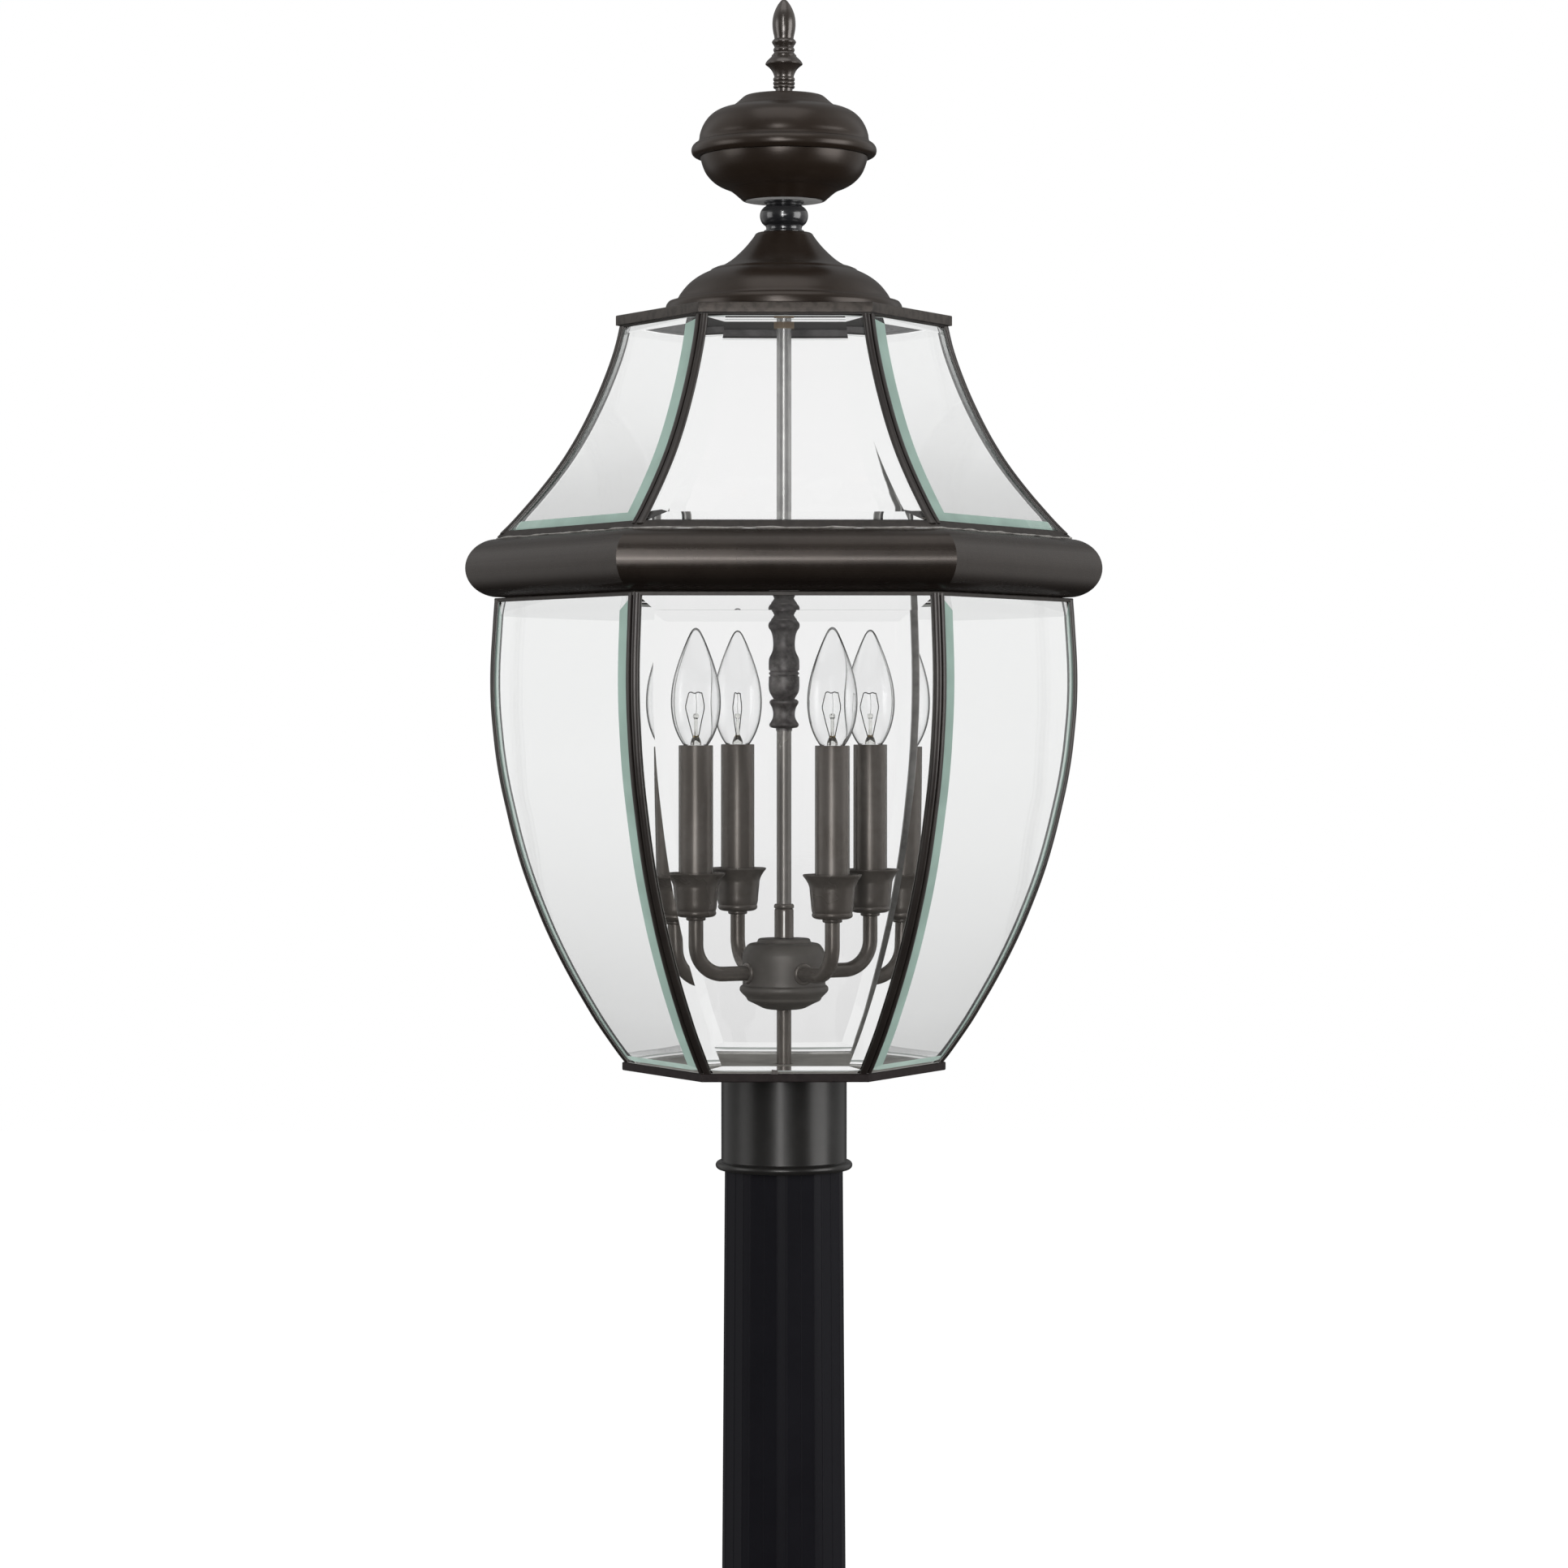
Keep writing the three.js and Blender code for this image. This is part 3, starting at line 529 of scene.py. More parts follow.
SHEATH = bronze(
    "cable_sheath", (0.012, 0.012, 0.013), (0.03, 0.03, 0.03), (0.008, 0.008, 0.009),
    rough=0.55, metallic=0.0, wear=0.1, grain=0.8, mottle=0.5, seed=16.0)
WIRE = bronze(
    "lead_wire", (0.022, 0.021, 0.02), (0.14, 0.13, 0.12), (0.015, 0.014, 0.013),
    rough=0.35, metallic=0.7, wear=0.2, grain=0.2, mottle=0.4, seed=17.0)

PANE_TINT, BEVEL_TINT = (0.990, 0.994, 0.992), (0.985, 0.992, 0.988)
SEA_GREEN = (0.46, 0.62, 0.55)
PANE = glass("pane_glass", PANE_TINT, wave=0.04)
PANE_FLAT = glass("front_pane_glass", (1.0, 1.0, 1.0), wave=0.04)
PANE_BEVEL = glass("pane_bevel_glass", BEVEL_TINT, edge_tint=SEA_GREEN, fade=0.5)
ROOF_BEVEL = glass("roof_bevel_glass", BEVEL_TINT, edge_tint=SEA_GREEN, fade=0.06)
# a slant above 1 keeps the ground edge milky, with its painted glow, from every side
GROUND_EDGE = glass("ground_edge_glass", BEVEL_TINT, edge_tint=(0.82, 0.87, 0.845), slant=1.3)
PANE_TOP = glass("pane_top_bevel_glass", PANE_TINT)
BULB = glass("bulb_glass_clear", (0.997, 0.999, 1.0), ior=1.30, coat=0.3)
STEM = glass("stem_glass", (0.93, 0.93, 0.90))

# =====================================================================
# post, collar, screws
# =====================================================================
POST_FOOT_RADIUS, POST_TOP_RADIUS, POST_HEIGHT = 40.25, 37.9, 331.0
POST_BORE_SHARE = 0.905          # of the outer radius
POST_EDGE_TRIM = 0.5             # taken off the radius at both ends
FLUTES = 10
FLUTE_PITCH = 360 / FLUTES
FIRST_LAND = -92.5               # azimuth of the first land's middle
LAND_HALF = 4.9                  # half a land's width, degrees
# one land with its edge beads: (degrees from its middle, share of the post's radius)
LAND = [(-LAND_HALF, 1 - 0.0015), (-4.5, 1.004), (-4.0, 1.004), (-3.5, 0.9995), (0, 1.0005),
        (3.5, 0.9995), (4.0, 1.004), (4.5, 1.004), (LAND_HALF, 1 - 0.0015)]
POST_LEVELS = (0.0, 0.6, 60, 120, 180, 240, 290, 330.4, POST_HEIGHT)


def post_outline():
    """(azimuth, share of the radius) round the post: flat lands and between them shallow
    flutes with a fine centre ridge."""
    outline = []
    for i in range(FLUTES):
        middle = FIRST_LAND + i * FLUTE_PITCH
        outline += [(middle + offset, share) for offset, share in LAND]
        for s in range(1, 8):
            t = s / 8
            azimuth = middle + LAND_HALF + (FLUTE_PITCH - 2 * LAND_HALF) * t
            share = 1 - 0.027 * math.sin(math.pi * t) ** 0.7
            outline.append((azimuth, share))
            if s == 4:
                outline += [(azimuth + 0.5, share + 0.005), (azimuth + 1.0, share)]
    return outline


def post_shape():
    outline = post_outline()
    rings = [(z, False) for z in POST_LEVELS] + [(POST_HEIGHT, True), (0.0, True)]
    verts = []
    for z, inside in rings:
        taper = 1 + (POST_TOP_RADIUS / POST_FOOT_RADIUS - 1) * (z / POST_HEIGHT)
        trim = POST_EDGE_TRIM if not inside and z in (0.0, POST_HEIGHT) else 0.0
        for azimuth, share in outline:
            share = POST_BORE_SHARE if inside else share
            radius = POST_FOOT_RADIUS * taper * share - trim
            a = math.radians(azimuth)
            verts.append((radius * math.cos(a), radius * math.sin(a), z))
    return verts, ring_faces(len(rings), len(outline))


make("fluted_post", post_shape(), "post", "post", [POST], angle=9)

# collar (radius, z), starting with the bead round its lower edge
BEAD_CENTRE, BEAD_Z, BEAD_RADIUS = 41.1, 276.1, 2.6
bead = [(BEAD_CENTRE + BEAD_RADIUS * math.cos(math.radians(a)),
         BEAD_Z + BEAD_RADIUS * math.sin(math.radians(a))) for a in range(-128, 104, 12)]
COLLAR_PROFILE = [
    (38.65, 274.4), *bead, (40.12, 279.2), (40.05, 280.2), (40.05, 337.9), (39.75, 338.2),
    (BORE, 338.2), (BORE, 336.2), (38.35, 336.2), (38.65, 335.9)]
make("post_fitter_collar", lathe(COLLAR_PROFILE, 128), "lantern", "fitter_collar",
     [COLLAR], angle=28)

SCREW_AZIMUTHS = (35, 90, 145)
SCREW_SEAT, SCREW_Z = 38.45, 306.0     # radius at which a screw starts, and its height
# (radius, distance along the screw)
SCREW_PROFILE = [
    (0, 0), (2.1, 0), (2.5, 0.4), (2.5, 3.9), (4.5, 3.9), (4.62, 4.1), (4.55, 5.0), (4.0, 5.9),
    (3.1, 6.5), (1.7, 6.65), (1.6, 6.5), (1.6, 4.9), (0, 4.7)]
verts, faces = lathe(SCREW_PROFILE, 40)
screw = [(SCREW_SEAT + z, y, SCREW_Z - x) for x, y, z in verts], faces
for i, azimuth in enumerate(SCREW_AZIMUTHS, 1):
    make(f"collar_set_screw_{i}", turned(screw, azimuth), f"screw_{i}", f"set_screw_{i}",
         [CAME])

# =====================================================================
# cages
# =====================================================================
# corner curves: (z, corner radius)
LOWER = [
    (337.1, 97.4), (342.3, 102.1), (348.5, 106.8), (354.7, 111.2), (367.1, 119.7),
    (379.5, 127.2), (391.9, 134.4), (404.3, 141.1), (416.7, 147.3), (429.1, 153.0),
    (441.5, 158.1), (453.9, 162.9), (466.3, 167.2), (478.7, 170.9), (491.2, 174.2),
    (503.6, 177.1), (516.0, 179.9), (528.4, 182.2), (540.8, 184.0), (553.2, 185.3),
    (565.6, 186.4), (578.0, 186.9), (590.4, 186.9), (602.8, 186.4), (615.2, 185.6),
    (627.6, 184.8), (637.4, 184.0)]
ROOF = [
    (675.7, 183.6), (680.4, 178.8), (683.5, 175.6), (689.7, 169.8), (695.9, 164.3),
    (702.1, 158.9), (708.3, 153.8), (714.5, 148.9), (720.7, 144.3), (726.9, 140.0),
    (733.1, 136.1), (739.3, 132.4), (745.5, 129.0), (751.7, 125.8), (757.9, 122.8),
    (764.1, 119.9), (770.3, 117.2), (776.5, 114.7), (782.7, 112.3), (788.9, 110.1),
    (795.1, 108.1), (801.4, 106.4), (807.6, 105.0), (811.0, 104.3)]
BAR_INSET = 0.3        # bars and panes sit this far inside the corner curve
GLASS_THICKNESS = 4.0
GLASS_OUT = 1.6        # outer face of the glass beyond the seat
SEAT_GAP = 0.3
RIB_OFFSET, RIB_RADIUS = 2.45, 2.3
BAR_STEPS = 56

FRAME_MATS = [CAME, CAME_INNER, SOLDER, RIM, RIM_LOW, LIP]
ON_CAME, ON_INNER, ON_SOLDER, ON_RIM, ON_RIM_LOW, ON_LIP = range(len(FRAME_MATS))


def corner_bar(stations, z0, z1, flange):
    """Came on the +X corner: two half-round ribs outside with a groove between, a web between
    the panes and an inner flange. flange is (half width, half width inside, depth)."""
    half_width, half_inside, depth = flange
    ribs = []
    for degrees in (158, 138, 116, 92, 68, 44, 22, 4):
        along = RIB_OFFSET + RIB_RADIUS * math.cos(math.radians(degrees))
        out = 0.6 * RIB_RADIUS * math.sin(math.radians(degrees))
        ribs.append((along * C30 + out * 0.5, -BAR_INSET - along * 0.5 + out * C30))
    seat = (GLASS_THICKNESS - GLASS_OUT) / C30 + 2 * SEAT_GAP
    slope = math.tan(math.radians(30))
    # right half of the section: (sideways, outward from the corner curve)
    half = [(0.32, -BAR_INSET - 0.75)] + ribs + [
        (3.8, -BAR_INSET - 3.8 * slope - 0.1), (1.0, -BAR_INSET - 1.0 * slope),
        (1.0, -BAR_INSET - seat - 1.0 * slope),
        (half_width, -BAR_INSET - seat - half_width * slope),
        (half_width, -BAR_INSET - seat - half_width * slope - 0.3)]
    section = half + [(half_inside, -BAR_INSET - seat - depth),
                      (-half_inside, -BAR_INSET - seat - depth)]
    section += [(-side, out) for side, out in half[::-1]]
    verts = []
    for i in range(BAR_STEPS + 1):
        z = z0 + (z1 - z0) * i / BAR_STEPS
        radius = curve_at(stations, z)
        lean = curve_at(stations, z + 0.5) - curve_at(stations, z - 0.5)
        # the section is stretched outward where the bar leans
        stretch = 0.5 + 0.5 * math.hypot(lean, 1.0)
        verts += [(radius + out * stretch, side, z) for side, out in section]
    inner = len(half) - 2
    around = [ON_CAME] * len(section)
    around[inner:inner + 5] = [ON_LIP, ON_LIP, ON_INNER, ON_LIP, ON_LIP]
    mats = around * BAR_STEPS + [ON_CAME, ON_CAME]
    return *capped(verts, BAR_STEPS + 1, len(section)), mats


def cage(name, stations, z0, z1, flange, rims, cad, body):
    bar = corner_bar(stations, z0, z1, flange)
    bars = [turned(bar, 60 * i) for i in range(6)]
    make(name, join(*bars, *rims), body, cad, FRAME_MATS)


# rims: (corner radius, z)
BOTTOM_RIM = [
    (93, 336.5), (102.6, 336.5), (103.2, 337.0), (103.2, 341.3), (102.6, 341.8), (99.6, 341.8),
    (99.2, 341.4), (99.2, 340.9), (98.2, 340.9), (98.2, 338.3), (93, 338.3)]
TOP_RIM = [
    (174.5, 636.4), (180.6, 636.2), (182.8, 635.0), (184.0, 634.8), (184.4, 635.1),
    (184.4, 637.0), (184.0, 637.4), (174.5, 637.4)]
EAVES = [(173.0, 675.7), (181.8, 675.7), (182.4, 676.0), (182.4, 676.6), (178.7, 680.1),
         (173.0, 680.1)]
ROOF_TOP_RIM = [(96.5, 809.5), (104.3, 809.5), (104.6, 809.8), (104.6, 810.4), (96.5, 810.4)]
# small tab on the front side of the bottom rim
TAB = [(-8.6, -91.4, 341.6), (-4.4, -91.4, 341.6), (-4.4, -88.6, 341.6), (-8.6, -88.6, 341.6),
       (-8.3, -90.6, 344.4), (-4.7, -90.6, 344.0), (-4.7, -89.4, 344.0), (-8.3, -89.4, 344.4)]
cage("lower_cage_frame", LOWER, 340.9, 636.4, (3.4, 2.4, 2.65), [
    paint(hex_ring(BOTTOM_RIM), 6, 4, 9, ON_LIP, ON_RIM_LOW),
    paint(hex_ring(TOP_RIM), 6, 0, 1, ON_LIP, ON_RIM),
    (TAB, BOX_FACES, ON_CAME),
], "lower_frame", "lantern")


def solder_bead(face_distance, middle_z, bead_radius, per_side=46, around=8):
    """Uneven bead of solder round the hexagon: its size and height wander along the way."""
    verts = []
    steps = 6 * per_side
    corner = face_distance / C30
    for i in range(steps):
        x, y = hex_point(i, per_side)
        lap = 6.28318 * i / steps    # angle along the way, one turn in all
        size = bead_radius * (1 + 0.30 * math.sin(31 * lap + 1.1) + 0.22 * math.sin(53 * lap)
                              + 0.16 * math.sin(97 * lap + 0.4))
        lift = 0.16 * math.sin(23 * lap + 2.0) + 0.10 * math.sin(61 * lap)
        for c in range(around):
            a = 2 * math.pi * c / around
            out = corner + size * math.cos(a)
            verts.append((x * out, y * out, middle_z + lift + size * 0.8 * math.sin(a)))
    return verts, ring_faces(steps, around)


cage("roof_cage_frame", ROOF, 678.5, 810.0, (2.5, 1.6, 2.05), [
    (*hex_ring(EAVES), ON_RIM),
    (*hex_ring(ROOF_TOP_RIM), ON_RIM),
    (*solder_bead(face_distance=158.25, middle_z=675.55, bead_radius=0.75), ON_SOLDER),
], "roof_frame", "roof")

# panes
BEVEL_SLOPE = math.tan(math.radians(13.4))
PANE_STEPS = 36
PANE_INSET = 1.35      # pane's side edge back from the corner
ON_PANE, ON_BEVEL, ON_TOP_BEVEL, ON_GROUND = range(4)


def bent_pane(stations, z0, z1, low_bevel, top_bevel, side_bevel, top_angle):
    """Pane facing +X: straight across, curved in height, bevelled on its outer face with
    mitred bevel corners. Bevel widths run along the surface; top_angle is in degrees."""
    def outer(z):
        return (curve_at(stations, z) - BAR_INSET - SEAT_GAP) * C30 + GLASS_OUT

    def slope(z):
        lean = (outer(z + 0.4) - outer(z - 0.4)) / 0.8
        return lean, math.hypot(lean, 1.0)

    low = z0 + low_bevel / slope(z0)[1]
    top = z1 - top_bevel / slope(z1)[1]
    levels = [z0, low] + [low + (top - low) * k / PANE_STEPS for k in range(1, PANE_STEPS)]
    levels += [top, z1]
    last = len(levels) - 1
    cuts = {0: low_bevel * BEVEL_SLOPE, last: top_bevel * math.tan(math.radians(top_angle))}
    verts, faces, mats = [], [], []
    for j, z in enumerate(levels):
        lean, length = slope(z)
        # unit normal to the surface in the (x, z) plane, pointing inward
        nx, nz = -1.0 / length, lean / length
        inner_x, inner_z = outer(z) + nx * GLASS_THICKNESS, z + nz * GLASS_THICKNESS
        half = (outer(z) - GLASS_THICKNESS) / C30 * 0.5 - PANE_INSET
        flat = half - side_bevel
        middle = GLASS_THICKNESS - cuts.get(j, 0.0)
        side = min(middle, GLASS_THICKNESS - side_bevel * BEVEL_SLOPE)
        across = (-half, -flat, -flat * 0.34, flat * 0.34, flat, half)
        depths = (side, middle, middle, middle, middle, side)
        verts += [(inner_x - nx * d, y, inner_z - nz * d) for y, d in zip(across, depths)]
        verts += [(inner_x, y, inner_z) for y in across]
    # each level holds six outer vertices, then six inner ones
    for j in range(last):
        a, b = 12 * j, 12 * (j + 1)
        at_top = j == last - 1
        for c in range(5):
            q = [a + c, a + c + 1, b + c + 1, b + c]
            if c in (0, 4) and (j == 0 or at_top):
                # mitre from the pane's corner to the bevel's inner corner
                if (c == 0) == (j == 0):
                    faces += [[q[0], q[1], q[2]], [q[0], q[2], q[3]]]
                else:
                    faces += [[q[0], q[1], q[3]], [q[1], q[2], q[3]]]
                mats += [ON_BEVEL, ON_TOP_BEVEL if at_top else ON_BEVEL]
            else:
                faces.append(q)
                bevelled = c in (0, 4) or j == 0
                mats.append(ON_BEVEL if bevelled else ON_TOP_BEVEL if at_top else ON_PANE)
        for c in range(6, 11):
            faces.append([a + c + 1, a + c, b + c, b + c + 1])
            mats.append(ON_PANE)
        faces += [[a + 6, a, b, b + 6], [a + 5, a + 11, b + 11, b + 5]]
        mats += [ON_GROUND, ON_GROUND]
    for a in (0, 12 * last):
        for c in range(5):
            faces.append([a + c, a + c + 6, a + c + 7, a + c + 1])
            mats.append(ON_GROUND)
    return verts, faces, mats


PANE_KINDS = (
    ("lower", "lantern", PANE_BEVEL,
     bent_pane(LOWER, z0=342.3, z1=635.4, low_bevel=5.4, top_bevel=9.3, side_bevel=10.6,
               top_angle=7.2)),
    ("roof", "roof", ROOF_BEVEL,
     bent_pane(ROOF, z0=680.9, z1=809.0, low_bevel=6.2, top_bevel=4.3, side_bevel=12.6,
               top_angle=8.5)))
panes = []
for i in range(6):
    clear = PANE_FLAT if i in (0, 3) else PANE    # 0 is the front face, 3 the back
    for tag, body, bevel, shape in PANE_KINDS:
        panes.append(make(
            f"{tag}_bevelled_pane_{i + 1}", turned(shape, 270 + 60 * i), body,
            f"{tag}_glass_{i + 1}", [clear, bevel, PANE_TOP, GROUND_EDGE],
            angle=4.0))

# half-round moulding with a sheet's thickness, mitred
BAND_FACE = 157.2      # face distance of the half-round's centre
BAND_OUTER, BAND_INNER = 18.6, 16.8
band = [((BAND_FACE + radius * math.cos(math.radians(a))) / C30,
         BAND_Z + radius * math.sin(math.radians(a)))
        for radius, sweep in ((BAND_OUTER, range(-90, 91, 6)), (BAND_INNER, range(90, -91, -10)))
        for a in sweep]
make("half_round_band", hex_ring(band, 4), "roof", "band", [BAND_METAL], angle=35)

# floor plate (corner radius, z)
FLOOR_PLATE = [(6.8, 338.6), (97.3, 338.6), (97.6, 338.9), (97.6, 340.1), (97.3, 340.4),
               (6.8, 340.4)]
make("hex_floor_plate", hex_ring(FLOOR_PLATE), "lantern", "floor_plate",
     [FLOOR_METAL])

# =====================================================================
# roof top; profiles are (radius, z), and a trailing 1 marks a sharp corner
# =====================================================================
# here the radius is the corner radius
ROOF_CAP = [
    (7.1, 815.6), (105.2, 815.6), (105.4, 815.4), (105.4, 810.9), (105.6, 810.7),
    (106.8, 810.7), (107.0, 810.9), (107.0, 816.5), (106.8, 816.9), (106.3, 817.1),
    (7.1, 817.1)]
make("hex_roof_cap", paint(hex_ring(ROOF_CAP), 6, 0, 3, 1, 0), "roof", "roof_cap",
     [CAP, UNDERCAP])

DOME_OUTSIDE = [
    (74.2, 817.2, 1), (75.0, 818.3), (75.3, 820.6), (74.9, 823.4), (73.6, 825.3, 1),
    (69.4, 825.9, 1), (68.2, 827.0), (66.4, 829.9), (63.9, 833.3), (60.6, 836.9), (56.2, 840.4),
    (51.6, 843.1), (47.6, 844.9, 1), (46.2, 846.1, 1), (43.4, 847.3), (40.6, 847.9, 1),
    (37.6, 849.4), (33.2, 852.3), (28.2, 856.7), (24.2, 860.8), (21.0, 864.7), (19.0, 867.4),
    (18.1, 868.8), (17.2, 869.4)]
DOME_INSIDE = [
    (BORE, 869.4), (BORE, 868.0), (16.4, 868.3), (20.8, 863.4), (26.0, 857.3), (31.6, 852.2),
    (37.6, 848.2), (44.4, 845.9), (52.4, 841.8), (59.6, 836.2), (64.6, 830.2), (67.6, 826.4),
    (72.6, 824.8), (73.6, 822.0), (73.4, 817.4)]
make("spun_dome", lathe(spline(DOME_OUTSIDE) + DOME_INSIDE, 144), "roof", "dome",
     [SPUN], angle=28)

NECK = [
    (12.9, 869.7, 1), (13.0, 870.3), (12.7, 871.0, 1), (11.3, 871.6, 1), (11.4, 872.9),
    (11.8, 874.0, 1), (13.0, 874.8), (14.2, 876.2), (15.0, 878.0), (15.35, 880.2),
    (15.1, 882.4), (14.2, 884.3), (12.7, 885.8), (11.6, 886.6, 1), (11.1, 887.3),
    (11.5, 888.1, 1), (12.5, 888.4), (12.8, 889.1), (12.5, 889.8, 1)]
make("turned_neck", lathe(spline(NECK) + [(BORE, 889.8), (BORE, 869.7)], 96), "roof", "neck",
     [NECK_BLACK])

LOW_BALL_OUTSIDE = [
    (24.6, 889.6, 1), (25.9, 889.9), (27.8, 891.4), (30.8, 894.0), (34.2, 896.5),
    (36.0, 897.4, 1), (39.6, 898.8), (43.8, 901.2), (47.2, 904.2), (49.8, 907.6), (51.7, 911.8),
    (52.8, 915.4), (53.2, 917.4, 1)]
LOW_BALL_INSIDE = [
    (51.9, 917.6), (50.2, 911.9), (47.6, 907.2), (43.2, 903.4), (38.0, 900.7), (31.2, 897.4),
    (23.8, 891.0), (BORE, 891.0), (BORE, 889.6)]
profile = spline(LOW_BALL_OUTSIDE) + LOW_BALL_INSIDE
flat_bottom = len(profile) - 1    # the edge that closes the profile
make("ball_lower_half", paint(lathe(profile, 144), 144, flat_bottom, flat_bottom, 1, 0), "roof",
     "ball_lower", [SPUN, UNDERBALL], angle=28)

TOP_BALL_OUTSIDE = [
    (53.9, 917.6, 1), (56.6, 917.9), (58.3, 919.2), (58.9, 921.0), (58.8, 922.8), (57.9, 924.7),
    (56.3, 926.1), (54.7, 926.9, 1), (54.1, 928.4), (53.6, 931.6), (52.6, 935.0), (50.9, 938.6),
    (48.4, 942.1), (44.8, 945.3), (40.2, 947.6), (36.0, 948.7), (33.4, 949.2, 1),
    (32.2, 950.2, 1), (30.4, 951.6), (28.2, 953.5), (26.3, 955.2), (25.0, 956.1),
    (23.9, 956.4, 1)]
TOP_BALL_INSIDE = [
    (3.4, 956.4), (3.4, 955.2), (23.8, 955.2), (30.0, 950.0), (36.6, 947.4), (42.2, 945.6),
    (48.2, 940.0), (51.8, 932.6), (52.6, 927.2), (56.2, 924.0), (56.8, 921.0), (55.6, 919.4),
    (52.2, 919.3), (52.0, 917.9)]
make("ball_upper_half", lathe(spline(TOP_BALL_OUTSIDE) + TOP_BALL_INSIDE, 144), "roof",
     "ball_upper", [SPUN], angle=28)

FINIAL_DROP = 0.75     # the finial sits this much below its table's heights
FINIAL = [
    (0, 969.6), (3.25, 969.6, 1), (3.25, 957.4, 1), (5.6, 957.4, 1), (5.4, 960.4),
    (5.5, 961.9, 1), (6.6, 962.2), (6.85, 962.9), (6.6, 963.6), (6.15, 964.1, 1), (6.7, 964.5),
    (6.9, 965.2), (6.7, 965.9), (6.15, 966.4, 1), (6.7, 966.9), (6.9, 967.7), (6.7, 968.5),
    (6.2, 969.1, 1), (6.3, 969.9), (6.7, 971.1), (7.2, 972.3), (8.0, 973.6), (9.2, 975.0),
    (10.3, 976.0), (11.6, 976.9, 1), (11.85, 977.4), (11.7, 978.0, 1), (11.0, 979.1),
    (9.9, 980.3), (8.7, 981.4), (7.9, 982.1, 1), (7.8, 983.0, 1), (6.9, 983.9), (6.2, 985.0, 1),
    (6.6, 985.6), (6.8, 986.4), (6.5, 987.3), (6.0, 988.0, 1), (6.4, 989.0), (7.2, 990.2),
    (7.7, 991.3), (7.3, 992.2), (6.1, 993.4, 1), (6.25, 994.8), (6.7, 996.8), (7.1, 999.0),
    (7.35, 1001.6), (7.35, 1004.0), (7.1, 1006.6), (6.6, 1008.9), (5.9, 1011.0), (5.0, 1013.0),
    (3.9, 1015.0), (2.6, 1016.8), (1.3, 1018.1), (0, 1018.5)]
profile = [(max(radius, 0.0), z - FINIAL_DROP) for radius, z in spline(FINIAL, 4)]
make("turned_finial", lathe(profile, 72), "finial", "finial", [TURNED])

# =====================================================================
# rod, baluster, hub; profiles as above
# =====================================================================
ROD_PAINT_TOP = 640.2    # faces centred above this are bare steel
ROD = [
    (0, 421.4), (4.3, 421.4), (ROD_RADIUS, 421.8), (ROD_RADIUS, 640.0), (ROD_RADIUS, 640.4),
    (ROD_RADIUS, 955.5), (4.2, 955.9), (2.8, 955.9), (2.8, 967.5), (2.4, 968.0), (0, 968.0)]
verts, faces = lathe(ROD, 48)
bare = [1 if sum(verts[i][2] for i in face) / len(face) > ROD_PAINT_TOP else 0
        for face in faces]
make("centre_rod_steel", (verts, faces, bare), "lantern", "centre_rod",
     [ROD_PAINT, ROD_STEEL])

WASHER = [(BORE, 813.6), (9.1, 813.6), (9.4, 813.9), (9.4, 814.9), (9.1, 815.2), (BORE, 815.2)]
make("roof_stop_washer", lathe(WASHER, 64), "lantern", "roof_washer",
     [CLUSTER_ROUGH])
make("roof_stop_nut", nut(corner_radius=7.4, z0=808.0, z1=813.4), "lantern", "roof_nut",
     [NUT_BROWN], angle=25)
make("floor_lock_nut", nut(corner_radius=10.4, z0=329.8, z1=335.8), "lantern", "floor_nut",
     [STEEL], angle=25)

BALUSTER = [
    (5.1183, 552.9832, 1), (5.17, 554.6376, 1), (7.8584, 555.0512, 1), (9.0992, 555.8784),
    (9.4094, 556.9124), (9.0992, 557.843), (8.1686, 559.1872), (7.238, 561.2552),
    (6.9278, 563.7368), (7.2897, 566.4252), (7.9618, 568.4932), (8.8924, 570.0442),
    (9.2543, 570.9748), (9.0992, 571.9054), (8.272, 572.7326), (6.721, 573.353, 1),
    (7.6516, 574.904), (8.789, 576.6618), (9.4611, 578.523), (9.7713, 580.7978),
    (9.7713, 584.21), (9.6679, 587.4154, 1), (8.9958, 587.829), (8.9958, 588.7079),
    (9.6162, 589.0698, 1), (9.6162, 590.0004, 1), (8.9958, 590.414), (8.9958, 591.2929),
    (9.7196, 591.6548, 1), (9.7713, 594.55), (9.7196, 597.3935), (9.306, 599.5649),
    (8.4788, 601.1676), (7.4448, 603.6492), (6.9278, 607.475), (7.0829, 611.1974),
    (7.8067, 614.9198), (8.5822, 616.781), (9.306, 617.7116, 1), (9.823, 618.7456),
    (9.9781, 619.9347), (9.823, 621.1238), (9.306, 622.1578), (8.272, 623.2952, 1),
    (7.9618, 624.3292), (7.3931, 624.9496, 1), (6.8244, 625.8802), (6.2557, 626.9659, 1),
    (7.1863, 628.9822, 1), (7.7033, 629.6026), (7.7033, 630.6366), (7.1863, 631.257, 1),
    (7.6516, 633.4284), (8.5822, 634.6692), (9.7196, 636.2202), (9.72, 636.6), (9.75, 640.0),
    (9.4, 642.4), (8.0, 643.6, 1)]
make("turned_baluster", lathe(spline(BALUSTER, 3) + [(BORE, 643.6), (BORE, 553.0)], 64),
     "lantern", "baluster", [CLUSTER_ROUGH])

COUPLING = [
    (BORE, 421.4, 1), (6.1, 421.4, 1), (6.1, 439.4, 1), (5.5, 440.0, 1), (6.2, 440.5),
    (6.4, 441.4), (6.2, 442.4), (5.6, 443.0, 1), (BORE, 443.0, 1)]
